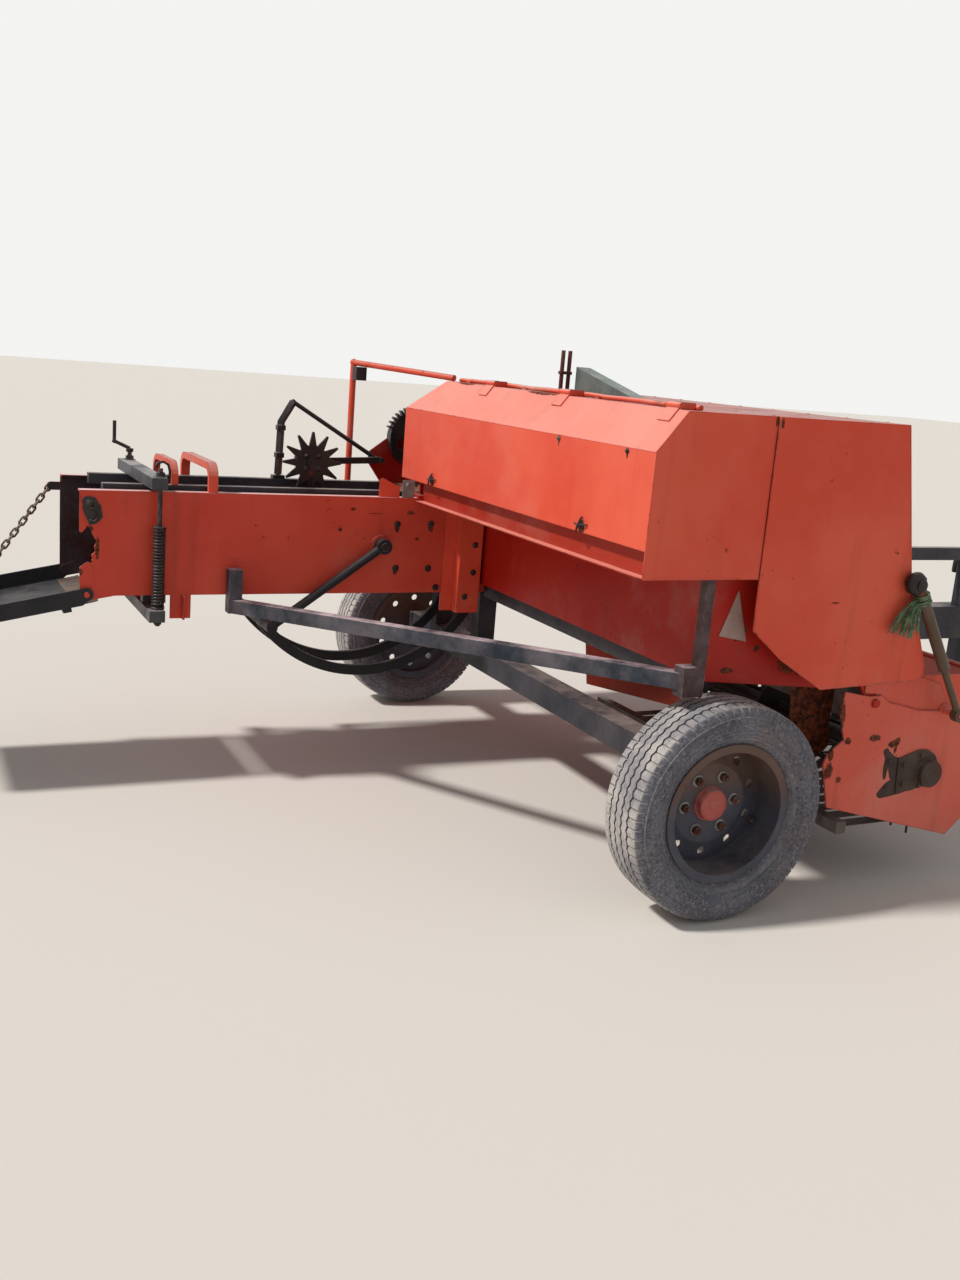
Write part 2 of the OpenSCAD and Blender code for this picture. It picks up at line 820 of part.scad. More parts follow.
// Lid over the back of the feeder: rear face, sloping face and its own end plate
module hood_lid() {
    slope = [ridge_x - lid_x, deck_z - lid_bend_z] / norm([ridge_x - lid_x, deck_z - lid_bend_z]);
    out = [-slope[1], slope[0]];
    inner_bend = lid_bend_z - sheet_t * tan((90 - atan2(slope[1], slope[0])) / 2);
    color(paint)
        difference() {
            union() {
                plate_xz(panel_y, lid_left_y - panel_y)
                    polygon([[lid_x, lid_edge_z], [lid_x + 28, lid_edge_z],
                             [lid_x + 28, lid_edge_z + sheet_t],
                             [lid_x + sheet_t, lid_edge_z + sheet_t], [lid_x + sheet_t, inner_bend],
                             [ridge_x + sheet_t / slope[1], deck_z], [ridge_x, deck_z],
                             [lid_x, lid_bend_z]]);
                plate_xz(panel_y, sheet_t)
                    polygon([[lid_x, lid_low_z], [lid_front_x, lid_low_z], [lid_front_x, deck_z],
                             [ridge_x, deck_z], [lid_x, lid_bend_z]]);
                for (y = hinge_ys)
                    plate_xz(y - hinge_len / 2, hinge_len)
                        union() {
                            translate([hinge_x, hinge_z])
                                circle(r = hinge_r);
                            polygon([for (c = [[6, 0], [6, 4], [-45, 4], [-45, 0]])
                                [ridge_x, deck_z] + slope * c[0] + out * c[1]]);
                        }
            }
            for (y = hinge_ys)
                rod_y(hinge_x, y - hinge_len / 2 - 1, y + hinge_len / 2 + 1, hinge_z,
                      hinge_pin_r + run_gap);
            plate_yz(lid_x - 20, 130)
                polygon([[lid_left_y, lid_bend_z], [ridge_left_y, deck_z + 1],
                         [lid_left_y + 1, deck_z + 1]]);
        }
}

// Rod stand and wedge-shaped cover on the deck
module deck_stand() {
    left = deck_left_y - 235;
    color(steel_bare) {
        plate_yz(150, 60)
            polygon([[left - 460, deck_z], [left - 40, deck_z], [left - 40, deck_z + 92]]);
        for (x = [110, 140])
            translate([x, left, deck_z])
                cylinder(h = 150, r = 8);
        block([100, left - 10, deck_z + 60], [150, left + 10, deck_z + 72]);
    }
}

// Post on the far wall with the pipe that runs to the deck's corner
module corner_post() {
    foot = [-480, chamber_left - 30, chamber_top];
    top = foot + [0, 0, 500];
    corner = [-240, deck_left_y - 12, deck_z + 12];
    color(paint) {
        translate(foot)
            cylinder(h = 8, r = 28);
        rod(foot, top, 13);
        translate(top)
            sphere(r = 15);
        rod(top, corner, 12);
    }
}

// Lamp housing under the pipe
module rear_lamp() {
    color(steel_dark)
        block([-490, chamber_left - 95, chamber_top + 430],
              [-445, chamber_left - 50, chamber_top + 484 - seat_gap]);
}

// Deck plate over the chamber with both side frames of the knotters
module knotter_frame() {
    base = chamber_top + deck_plate_t;
    color(paint) {
        difference() {
            block([deck_plate_x, chamber_y, chamber_top], [cover_x, chamber_left, base]);
            needle_slots(chamber_top - 1, base + 1);
        }
        knotter_side(chamber_y + 45, [[lid_x + 40, 1205], [lid_x + 40, base]]);
        difference() {
            knotter_side(chamber_left - 55, [[-400, 1205], [-400, 1160], [-340, base]]);
            rod_y(arm_pivot[0], chamber_left - 56, chamber_left - 44, arm_pivot[1], 10 + run_gap);
        }
    }
}

// One knotter side frame from y; rear holds the corners of its rear edge
module knotter_side(y, rear) {
    plate_xz(y, 10)
        difference() {
            union() {
                polygon(concat([[-60, chamber_top + deck_plate_t], [-150, knotter_z + 40],
                                [-260, knotter_z + 40]], rear));
                translate([knotter_x, knotter_z])
                    circle(r = 52);
            }
            translate([knotter_x, knotter_z])
                circle(r = 18 + run_gap);
        }
}

// Knotter shaft with its two toothed discs and its drive disc
module knotter_shaft() {
    color(steel_bare) {
        rod_y(knotter_x, chamber_y + 35, chamber_left + 20, knotter_z, 18);
        for (y = needle_ys)
            translate([knotter_x, y + 25, knotter_z])
                rotate([-90, 0, 0])
                    linear_extrude(30)
                        difference() {
                            union() {
                                circle(r = knotter_r - 16);
                                for (k = [0 : 6])
                                    rotate(200 + k * 9)
                                        translate([knotter_r - 20, -4])
                                            square([20, 8]);
                            }
                            for (k = [0 : 2])
                                rotate(40 + k * 120)
                                    translate([72, 0])
                                        circle(r = 24);
                        }
        rod_y(knotter_x, chamber_left - 20, chamber_left + 4, knotter_z, 95);
    }
}

// Arm that carries the star wheel, with its trip bar, on a pivot through the knotter frame
module measuring_arm() {
    pivot = arm_pivot;
    far_y = chamber_left - 90;
    near_y = far_y - 60;
    path = [[-803, rail_z + rail_h + 5], [-798, 1313], [-751, 1395], pivot];
    color(steel_dark) {
        rod_y(pivot[0], near_y - 10, chamber_left - 40, pivot[1], 10);
        for (k = [0 : 2])
            rod([path[k][0], far_y, path[k][1]], [path[k + 1][0], far_y, path[k + 1][1]], 9);
        for (p = [path[1], path[2]])
            translate([p[0], far_y, p[1]])
                sphere(r = 11);
        block([-828, far_y - 17, rail_z + rail_h], [-778, far_y + 17, rail_z + rail_h + 14]);
        difference() {
            union() {
                bar([pivot[0], near_y, pivot[1]], [star_x, near_y, star_z], 12, 26);
                rod_y(star_x, near_y - 14, near_y + 14, star_z, 20);
            }
            rod_y(star_x, near_y - 15, near_y + 15, star_z, 9 + run_gap);
        }
    }
}

// Star wheel that the moving bale turns, with its shaft and cam disc
module star_wheel() {
    mid = chamber_left - 210;
    step = 360 / star_points;
    root_r = star_r / 2;
    color(steel_dark) {
        plate_xz(mid - 4, 8)
            translate([star_x, star_z])
                polygon([for (k = [0 : star_points - 1], p = [[0, star_r], [0.34, root_r], [0.66, root_r]])
                    p[1] * [cos((k + p[0]) * step), sin((k + p[0]) * step)]]);
        rod_y(star_x, mid - 14, mid + 98, star_z, 9);
        rod_y(star_x, mid - 14, mid + 14, star_z, 22);
        rod_y(star_x, mid + 82, mid + 90, star_z, 48);
    }
}

// Blank triangular plate on the trough's end
module warning_plate() {
    color(plate_pale)
        plate_xz(trough_y - 8, 3)
            polygon([[-25, 870], [80, 850], [30, 1010]]);
}

// Open twine box on the left of the chamber, with its dividers and the lid's hinge pins
module twine_box() {
    low = [twine_x, chamber_left, twine_low];
    high = [twine_x + twine_len, chamber_left + twine_w, twine_top];
    color(paint) {
        difference() {
            block(low, high);
            block(low + [sheet_t, sheet_t, sheet_t], high + [-sheet_t, -sheet_t, 1]);
        }
        for (k = [1, 2])
            block([low[0] + sheet_t, chamber_left + k * twine_w / 3, low[2] + sheet_t],
                  [high[0] - sheet_t, chamber_left + k * twine_w / 3 + 3, high[2] - 60]);
        for (x = twine_hinge_xs) {
            rod_x(x, x + 40, twine_hinge[0], twine_hinge[1], 6);
            for (end = [x - 10, x + 40])
                block([end, chamber_left, high[2] - 20], [end + 10, chamber_left + 20, high[2] + 20]);
        }
    }
}

// Lid of the twine box, on two pins along the chamber wall
module twine_box_lid() {
    rear = twine_x - 6;
    front = twine_x + twine_len + 6;
    edge = chamber_left + twine_w + 8;
    color(paint)
        difference() {
            union() {
                block([rear, chamber_left + 26, twine_top + 2], [front, edge, twine_top + 6]);
                block([rear, edge - 3.5, twine_top - 26], [front, edge, twine_top + 6]);
                for (x = twine_hinge_xs) {
                    block([x + 2, twine_hinge[0], twine_top + 4],
                          [x + 38, twine_hinge[0] + 30, twine_top + 10]);
                    rod_x(x + 2, x + 38, twine_hinge[0], twine_hinge[1], 11);
                }
            }
            for (x = twine_hinge_xs)
                rod_x(x + 1, x + 39, twine_hinge[0], twine_hinge[1], 6 + run_gap);
        }
}

// Beam under the front of the chamber with the drawbar's lugs and pin
module drawbar_carrier() {
    top = drawbar_z + drawbar_h / 2 + 6;
    low = drawbar_z - drawbar_h / 2 - 6;
    reach = drawbar_w / 2 + 16;
    color(paint) {
        block([drawbar_x - 110, drawbar_y - reach, top], [drawbar_x + 45, chamber_left, top + 44]);
        block([drawbar_x - 110, chamber_y - 20, top + 44], [chamber_front_x - 2, chamber_left, chamber_z]);
        block([drawbar_x - 110, drawbar_y - reach, low - 20], [drawbar_x - 92, drawbar_y + reach, top]);
        block([drawbar_x - 110, drawbar_y - reach, low - 20], [drawbar_x + 45, drawbar_y + reach, low]);
        translate([drawbar_x, drawbar_y, low - 30])
            cylinder(h = top - low + 40, r = 20);
    }
}

// Place and turn the drawbar's own frame at its pivot
module drawbar_frame() {
    translate([drawbar_x, drawbar_y, drawbar_z])
        children();
}

// Drawbar with its hub, hitch eye and jack pin
module drawbar() {
    half_w = drawbar_w / 2;
    half_h = drawbar_h / 2;
    color(steel_dark)
        drawbar_frame()
            difference() {
                union() {
                    cylinder(h = drawbar_h, r = 58, center = true);
                    translate([0, -half_w, -half_h])
                        cube([drawbar_len - 110, drawbar_w, drawbar_h]);
                    translate([drawbar_len - 150, -30, -25])
                        cube([150, 60, 50]);
                    translate([drawbar_len, 0, 0])
                        cylinder(h = 50, r = hitch_r, center = true);
                    rod_y(jack_at, half_w - 1, half_w + 128, 0, 16);
                    rod_y(jack_at, half_w - 1, half_w + 8, 0, 42);
                }
                cylinder(h = drawbar_h + 2, r = 20 + run_gap, center = true);
                translate([drawbar_len, 0, 0])
                    cylinder(h = 52, r = hitch_bore_r, center = true);
            }
}

// Rail above the drawbar
module guard_rail() {
    half_h = drawbar_h / 2;
    color(steel_dark)
        drawbar_frame() {
            translate([100, -50, 310])
                cube([1060, 40, 60]);
            for (x = [100, 1100])
                translate([x, -50, half_h])
                    cube([60, 40, 310 - half_h]);
        }
}

// Parking jack: leg, sleeve round the drawbar's pin, foot and crank
module jack_leg() {
    mid = drawbar_y + drawbar_w / 2 + 8 + 78;
    x = drawbar_x + jack_at;
    color(steel_blue)
        difference() {
            union() {
                block([x - 30, mid - 30, 200], [x + 30, mid + 30, drawbar_z + 330]);
                block([x - 24, mid - 24, 8], [x + 24, mid + 24, 200]);
                block([x - 90, mid - 70, 0], [x + 90, mid + 70, 8]);
                rod_y(x, mid - 68, mid + 40, drawbar_z, 38);
                rod_y(x, mid - 10, mid + 90, drawbar_z + 300, 9);
                block([x - 9, mid + 80, drawbar_z + 200], [x + 9, mid + 92, drawbar_z + 310]);
            }
            rod_y(x, mid - 80, mid + 50, drawbar_z, 16 + run_gap);
        }
}

// Tyre section, revolved about the wheel axis
module tyre_section() {
    half = tyre_w / 2;
    bead = rim_r - rim_lip + seat_gap;
    bead_half = rim_half - rim_lip_t - seat_gap;
    difference() {
        union() {
            translate([bead, -bead_half])
                square([rim_lip + 14, 2 * bead_half]);
            for (side = [-1, 1])
                translate([tyre_r - 66, side * (half - 44)])
                    circle(r = 44);
            translate([rim_r + 8, 44 - half])
                square([tyre_r - rim_r - 52, tyre_w - 88]);
            polygon([[tyre_r - 66, 8 - half], [tyre_r - 14, 14 - half], [tyre_r, 32 - half],
                     [tyre_r, half - 32], [tyre_r - 14, half - 14], [tyre_r - 66, half - 8]]);
        }
        translate([bead - 1, 30 - bead_half])
            square([tyre_r - 34 - bead, 2 * bead_half - 60]);
    }
}

// A tyre centred on the wheel line at y
module tyre(y) {
    color(rubber_grey)
        translate([0, y, tyre_r])
            rotate([90, 0, 0])
                rotate_extrude($fn = 96)
                    tyre_section();
}

// A rim with disc, hub and studs; side is -1 where the outer face looks to the right
module rim(y, side) {
    half = rim_half;
    barrel_r = rim_r - rim_lip;
    color(steel_dark)
        translate([0, y, tyre_r])
            rotate([side * 90, 0, 0])
                difference() {
                    union() {
                        rotate_extrude($fn = 96)
                            union() {
                                translate([barrel_r - 6, -half])
                                    square([6, 2 * half]);
                                for (z = [-half, half - rim_lip_t])
                                    translate([barrel_r - 2, z])
                                        square([rim_lip + 2, rim_lip_t]);
                                translate([0, -disc_in])
                                    polygon([[barrel_r - 4, -24], [barrel_r - 4, -16], [150, -8],
                                             [128, 0], [60, 0],
                                             [60, -8], [126, -8], [148, -16]]);
                            }
                        translate([0, 0, -hub_back])
                            cylinder(h = hub_back - disc_in, r = 62);
                        translate([0, 0, -disc_in - 4])
                            cylinder(h = disc_in + 2, r = 46);
                        for (k = [0 : 5])
                            rotate(k * 60 + 4)
                                translate([92, 0, -disc_in - 4])
                                    cylinder(h = 20, r = 12, $fn = 6);
                    }
                    for (k = [0 : 9])
                        rotate(k * 36 + 18)
                            translate([159, 0, -disc_in - 30])
                                cylinder(h = 40, r = 14);
                    translate([0, 0, -hub_back - 1])
                        cylinder(h = hub_back - spindle_in + 3, r = spindle_r + run_gap);
                }
}

module right_tyre() {
    tyre(wheel_right_y);
}

module left_tyre() {
    tyre(wheel_left_y);
}

module right_rim() {
    rim(wheel_right_y, 1);
}

module left_rim() {
    rim(wheel_left_y, -1);
}

// Flywheel with its shaft in the gearbox and the splined end for the drive line
module flywheel() {
    web = flywheel_r - 60;
    color(steel_dark)
        translate([flywheel_x, chamber_mid, drive_z])
            rotate([0, 90, 0])
                union() {
                    difference() {
                        union() {
                            cylinder(h = flywheel_w, r = flywheel_r, $fn = 96);
                            translate([0, 0, -34])
                                cylinder(h = flywheel_w + 60, r = 60);
                        }
                        for (z = [-1, flywheel_w - 24])
                            translate([0, 0, z])
                                difference() {
                                    cylinder(h = 25, r = web + 14, $fn = 96);
                                    translate([0, 0, -1])
                                        cylinder(h = 27, r = 60);
                                }
                        for (k = [0 : 5])
                            rotate(k * 60)
                                translate([145, 0, -1])
                                    cylinder(h = flywheel_w + 2, r = 42);
                    }
                    translate([0, 0, gearbox_x + 215 - flywheel_x])
                        cylinder(h = flywheel_x - gearbox_x - 215, r = 25);
                    translate([0, 0, flywheel_w])
                        cylinder(h = 130, r = shaft_r);
                }
}

// Plunger in the chamber, slotted where the needles pass
module plunger() {
    gap = move_gap;
    floor_z = chamber_z + wall_t;
    color(steel_bare) {
        for (y = [chamber_y + 40, chamber_left - 80])
            block([680, y, floor_z + seat_gap], [1100, y + 40, floor_z + gap]);
        difference() {
            block([640, chamber_y + wall_t + gap, chamber_z + wall_t + gap],
                  [1140, chamber_left - wall_t - gap, chamber_top - wall_t - gap]);
            for (y = needle_ys)
                block([639, y - needle_gap, chamber_z], [900, y + needle_gap, chamber_top]);
            block([700, chamber_y + 40, chamber_z + 60], [1141, chamber_left - 40, chamber_top - 60]);
        }
    }
}

// Yoke that swings the two needles up through the chamber
module needle_yoke() {
    pivot = [needle_x, needle_z];
    cross = pivot + needle_r * [cos(needle_root), sin(needle_root)];
    arm_root = pivot + 23 * [cos(needle_root), sin(needle_root)];
    fan = 900;
    color(steel_dark)
        difference() {
            union() {
                for (y = [chamber_y - yoke_out, chamber_left + yoke_out]) {
                    rod_y(needle_x, y - yoke_hub_half, y + yoke_hub_half, needle_z, 30);
                    rod([arm_root[0], y, arm_root[1]], [cross[0], y, cross[1]], yoke_arm_r);
                }
                rod_y(cross[0], chamber_y - yoke_out - 20, chamber_left + yoke_out + 20, cross[1], 22);
                for (y = needle_ys)
                    plate_xz(y - needle_t / 2, needle_t)
                        translate(pivot)
                            intersection() {
                                difference() {
                                    circle(r = needle_r + needle_half, $fn = 96);
                                    circle(r = needle_r - needle_half, $fn = 96);
                                }
                                polygon(concat([[0, 0]], [for (a = [needle_root, 245, 275, 305,
                                                                    needle_tip + 360])
                                    fan * [cos(a), sin(a)]]));
                            }
            }
            for (y = [chamber_y - yoke_out, chamber_left + yoke_out])
                rod_y(needle_x, y - yoke_hub_half - 1, y + yoke_hub_half + 1, needle_z, 16 + run_gap);
        }
}

// Outline of a pickup side plate, in x and z, from its low rear corner; rear holds its rear edge
module pickup_outline(rear) {
    polygon(concat([[574, 664], [626, 664], [662, 640], [803, 605], [893, 600], [905, 621], [930, 621],
                    [944, 604], [965, 570], [1000, 565], [1180, 480], [1155, 330], [1075, 205],
                    [1010, 148], [460, 295]], rear));
}

// Side plates of the pickup with the reel's bearings and the pins; the right one has a torn rear edge
module pickup_plates() {
    torn_edge = [[419, 444], [433, 480], [492, 523], [460, 608], [470, 684]];
    whole_edge = [[435, 480], [470, 684]];
    color(paint) {
        for (right = [true, false]) {
            y = right ? pickup_y : pickup_left - pickup_t;
            boss_y = right ? y - 22 : y;
            difference() {
                union() {
                    plate_xz(y, pickup_t)
                        pickup_outline(right ? torn_edge : whole_edge);
                    rod_y(reel_x, boss_y, boss_y + pickup_t + 22, reel_z, 46);
                }
                rod_y(reel_x, y - 30, y + 40, reel_z, 18 + run_gap);
                rod_y(lift_x, y - 1, y + pickup_t + 1, lift_z, 14 + run_gap);
            }
        }
        rod_y(lift_pin[0], 8, pickup_y, lift_pin[1], 12);
        rod_y(guard_pivot[0], pickup_y, pickup_y + pickup_t + 18, guard_pivot[1], 10);
        rod_y(guard_pivot[0], pickup_left - pickup_t - 18, pickup_left, guard_pivot[1], 10);
    }
}

// Stripper bands between the tine rows, on two cross beams, with the sheet behind them
module pickup_bands() {
    inner = band_r - 3;
    band_w = row_step - 22;
    top = [630, 600];
    low = [560, reel_z - band_r];
    y0 = pickup_y + pickup_t;
    y1 = pickup_left - pickup_t;
    color(steel_bare) {
        for (k = [1 : tine_rows - 1])
            plate_xz(row_y + (k - 1) * row_step + 11, band_w)
                union() {
                    translate([reel_x, reel_z])
                        intersection() {
                            difference() {
                                circle(r = band_r, $fn = 96);
                                circle(r = inner, $fn = 96);
                            }
                            translate([0, -band_r - 1])
                                square([band_r + 1, 2 * band_r + 2]);
                        }
                    polygon([[reel_x, reel_z + inner], [reel_x, reel_z + band_r], top, top - [0, 3]]);
                    polygon([[reel_x, low[1]], [reel_x, low[1] + 3], low + [0, 3], low]);
                }
        block([top[0] - 44, y0, top[1] - 40], [top[0], y1, top[1]]);
        block([low[0] - 40, y0, low[1]], [low[0], y1, low[1] + 40]);
        plate_xz(y0 + 2 * lift_lug_t + 2, y1 - y0 - 4 * lift_lug_t - 4)
            polygon([[586, 600], [590, 600], [578, 690], [574, 690]]);
    }
}

// Tined reel
module pickup_reel() {
    bar_r = 105;
    y0 = pickup_y + pickup_t + 6;
    y1 = pickup_left - pickup_t - 6;
    color(steel_dark)
        translate([reel_x, 0, reel_z]) {
            rod_y(0, pickup_y - 20, pickup_left + 20, 0, 18);
            rod_y(0, y0, y1, 0, 30);
            for (y = [y0, (y0 + y1) / 2 - 3, y1 - 6])
                rod_y(0, y, y + 6, 0, bar_r + 18);
            for (b = [0 : tine_bars - 1])
                rotate([0, b * 360 / tine_bars, 0]) {
                    rod_y(bar_r, y0, y1, 0, 10);
                    for (k = [0 : tine_rows - 1])
                        rod([bar_r, row_y + k * row_step, 0], [tine_tip_r, row_y + k * row_step, 0], 4);
                }
        }
}

// Hinged wind guard over the crop: a sheet between two arms, with a bar along its edge
module wind_guard() {
    pivot = guard_pivot;
    rise = [140, 160];
    edge = pivot + rise;
    out = [-rise[1], rise[0]] / norm(rise);
    low = pivot + rise / norm(rise) * 54;
    y0 = pickup_y + pickup_t + 6;
    y1 = pickup_left - pickup_t - 6;
    color(paint)
        difference() {
            union() {
                for (y = [y0, y1 - 8])
                    plate_xz(y, 8)
                        union() {
                            polygon([pivot + [-16, 8], pivot + [16, -8], edge + [12, -8], edge + [-12, 8]]);
                            translate(pivot)
                                circle(r = 20);
                        }
                rod_y(edge[0], y0, y1, edge[1], 10);
                plate_xz(y0, y1 - y0)
                    polygon([low, edge, edge + out * sheet_t, low + out * sheet_t]);
            }
            for (y = [y0, y1 - 8])
                rod_y(pivot[0], y - 1, y + 9, pivot[1], 10 + run_gap);
        }
}

// Local frame of the lift strut: z runs from its top pin to its lower pin
module along_strut() {
    d = lift_pin - lift_top;
    translate([lift_top[0], 24, lift_top[1]])
        rotate([0, atan2(d[0], d[1]), 0])
            children();
}

// Upper tube of the lift strut
module lift_barrel() {
    color(olive)
        along_strut()
            difference() {
                union() {
                    rod_y(0, -12, 12, 0, 24);
                    translate([0, 0, 16])
                        cylinder(h = 310, r = 19);
                }
                rod_y(0, -13, 13, 0, 12 + run_gap);
                translate([0, 0, 60])
                    cylinder(h = 270, r = 12 + run_gap);
            }
}

// Rod of the lift strut; the pickup's pin shifts in its loose eye as the pickup lifts
module lift_rod() {
    length = norm(lift_pin - lift_top);
    shift = [-0.72, 0.98];
    color(olive)
        along_strut()
            difference() {
                union() {
                    translate([0, 0, 210])
                        cylinder(h = length - 210 - 16, r = 12);
                    rod_y(0, -14, 14, length, 24);
                }
                rod_y(shift[0], -15, 15, length + shift[1], 13.5);
            }
}

// Local frame of the chute: it runs towards -x from its pins
module along_chute() {
    translate([chute_hinge_x, 0, chute_hinge_z])
        rotate([0, -chute_droop, 0])
            children();
}

// Chute that lets the bale down, on two pins at the chamber's lower corners
module bale_chute() {
    color(steel_blue)
        along_chute()
            difference() {
                union() {
                    for (y = [chamber_y - 10, chamber_left + 4])
                        plate_xz(y, 6)
                            union() {
                                circle(r = chute_ear_r);
                                polygon([[-20, 24 - chute_side_h], [0, -chute_ear_r], [0, chute_ear_r],
                                         [-chute_len, 24],
                                         [-chute_len, 24 - chute_side_h]]);
                            }
                    block([-chute_len, chamber_y - 4, 24 - chute_side_h],
                          [-40, chamber_left + 4, 28 - chute_side_h]);
                    for (x = [-chute_len, -chute_len / 2, -90])
                        block([x, chamber_y - 4, 8 - chute_side_h],
                              [x + 30, chamber_left + 4, 24 - chute_side_h]);
                    rod_y(chain_hook[0], chamber_left + 9, chain_y + 18, chain_hook[1], chain_pin_r);
                }
                for (y = [chamber_y - 11, chamber_left + 3])
                    rod_y(0, y, y + 8, 0, chute_pin_r + run_gap);
            }
}

// Chain link of round wire in the local x-z plane
module chain_link(wire, bend, straight) {
    for (end = [-1, 1]) {
        translate([0, 0, end * straight / 2])
            rotate([90, 0, 0])
                rotate([0, 0, end > 0 ? 0 : 180])
                    rotate_extrude(angle = 180, $fn = 24)
                        translate([bend, 0])
                            circle(r = wire, $fn = 16);
        translate([end * bend, 0, -straight / 2])
            cylinder(h = straight, r = wire, $fn = 16);
    }
}

// Chain from the wall's rear corner to the chute
module chute_chain() {
    first = (norm(chain_run) - (link_count - 1) * link_step) / 2;
    color(steel_bare)
        translate([chain_eye[0], chain_y, chain_eye[1]])
            rotate([0, chain_tilt, 0])
                for (k = [0 : link_count - 1])
                    translate([0, 0, first + k * link_step])
                        rotate([0, 0, (k % 2) * 90])
                            chain_link(link_wire, link_bend, link_straight);
}

// Moves a piece so that the origin lies below the middle of the whole machine
module place() {
    translate(-origin)
        children();
}

place() chamber_wall_right();
place() chamber_wall_left();
place() chamber_floor();
place() chamber_cover();
place() tension_rails();
place() density_beams();
place() density_springs();
place() density_crank();
place() chamber_arches();
place() front_plate();
place() gearbox();
place() axle();
place() chamber_pillars();
place() side_brace();
place() feeder_trough();
place() feeder_frame();
place() end_panel();
place() top_deck();
place() deck_stand();
place() corner_post();
place() rear_lamp();
place() knotter_frame();
place() measuring_arm();
place() warning_plate();
place() lid_skirt();
place() twine_box();
place() drawbar_carrier();
place() right_tyre();
place() right_rim();
place() left_tyre();
place() left_rim();
place() flywheel();
place() knotter_shaft();
place() star_wheel();
place() plunger();
place() feeder_carriage();
place() needle_yoke();
place() hood_lid();
place() twine_box_lid();
place() pickup_plates();
place() pickup_bands();
place() pickup_reel();
place() wind_guard();
place() lift_barrel();
place() lift_rod();
place() drawbar();
place() guard_rail();
place() jack_leg();
place() bale_chute();
place() chute_chain();
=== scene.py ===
"""Weathered square baler: finishes, tread, springs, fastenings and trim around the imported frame."""

import json
import logging
import math
import random
from dataclasses import dataclass, field
from enum import Enum
from functools import cached_property
from typing import ClassVar, Optional, Sequence

import bmesh
import bpy
from mathutils import Matrix, Vector

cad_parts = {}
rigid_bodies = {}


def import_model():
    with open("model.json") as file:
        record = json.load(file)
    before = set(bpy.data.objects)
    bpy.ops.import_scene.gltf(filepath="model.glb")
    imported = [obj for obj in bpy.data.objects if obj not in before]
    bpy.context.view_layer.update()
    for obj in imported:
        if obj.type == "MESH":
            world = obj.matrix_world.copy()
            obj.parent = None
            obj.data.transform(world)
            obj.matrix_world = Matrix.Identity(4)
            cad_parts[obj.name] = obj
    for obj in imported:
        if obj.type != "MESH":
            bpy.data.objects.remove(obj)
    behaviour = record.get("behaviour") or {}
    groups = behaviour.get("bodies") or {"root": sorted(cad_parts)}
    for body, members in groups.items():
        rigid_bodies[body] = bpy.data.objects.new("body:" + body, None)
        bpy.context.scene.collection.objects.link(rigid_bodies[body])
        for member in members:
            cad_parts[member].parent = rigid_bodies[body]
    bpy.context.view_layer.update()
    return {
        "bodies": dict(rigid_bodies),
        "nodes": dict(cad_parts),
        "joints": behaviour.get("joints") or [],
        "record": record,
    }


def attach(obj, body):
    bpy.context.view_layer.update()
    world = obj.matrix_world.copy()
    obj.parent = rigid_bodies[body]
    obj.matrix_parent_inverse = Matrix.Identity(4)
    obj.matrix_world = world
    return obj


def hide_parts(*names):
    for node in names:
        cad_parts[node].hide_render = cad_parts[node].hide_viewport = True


LOG = logging.getLogger("baler")

Flat = tuple[float, float]
Point = tuple[float, float, float]
Colour = tuple[float, float, float]
Socket = bpy.types.NodeSocket


def srgb(red: int, green: int, blue: int) -> Colour:
    """Turn a colour as seen on screen, 0 to 255, into the linear one that a shader takes."""
    shares = (value / 255 for value in (red, green, blue))
    return tuple(s / 12.92 if s <= 0.04045 else ((s + 0.055) / 1.055) ** 2.4 for s in shares)


def polar(degrees: float, radius: float) -> Flat:
    """Give the point at an angle on a circle about the origin."""
    return radius * math.cos(math.radians(degrees)), radius * math.sin(math.radians(degrees))


def placed(name: str, data: bpy.types.ID) -> bpy.types.Object:
    """Make an object and put it in the scene.

    Args:
        name: Its name.
        data: What it shows.

    Returns:
        The object.
    """
    made = bpy.data.objects.new(name, data)
    bpy.context.scene.collection.objects.link(made)
    return made


def moved(at: Flat, points: Sequence[Flat]) -> list[Flat]:
    """Give an outline shifted to its place."""
    return [(at[0] + a, at[1] + b) for a, b in points]


class Axis(Enum):
    """The row frame's axes: forward, left and up."""
    X = "X"
    Y = "Y"
    Z = "Z"

    def put(self, first: float, second: float, along: float) -> Point:
        """Give a point from its places in the two other axes, in x, y, z order, and along this one."""
        return {Axis.X: (along, first, second), Axis.Y: (first, along, second), Axis.Z: (first, second, along)}[self]


class Inside(Enum):
    """Which face of a sheet is turned to the crop, as an axis and a direction along it."""
    NOWHERE = ("Z", 0.0)
    LEFT = ("Y", 1.0)
    RIGHT = ("Y", -1.0)


@dataclass(frozen=True)
class Datum:
    """Places are measured from the wheel line, the right rim's face and the ground, in metres."""
    wheel_x: float
    rim_y: float

    @classmethod
    def from_frame(cls, frame: dict, rim_to_centre: float = 0.072) -> "Datum":
        """Find the datum from the right wheel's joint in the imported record.

        Args:
            rim_to_centre: From the rim's outer face to the wheel's middle plane.

        Returns:
            The datum that every sub-assembly measures from.
        """
        joints = {joint["name"]: joint for joint in frame["record"]["behaviour"]["joints"]}
        x, y, _ = joints["right_wheel_roll"]["pos_m"]
        return cls(x, y - rim_to_centre)

    @property
    def offset(self) -> Vector:
        """What is added to a measured place to give its place in the row frame."""
        return Vector((self.wheel_x, self.rim_y, 0.0))


@dataclass(frozen=True)
class StainAndShadeMark:
    """A mark on a face, as a measured place and its reach along each axis: rust or dirt, and below the trough's end a
    patch of painted shade.
    """
    at: Point
    size: Point


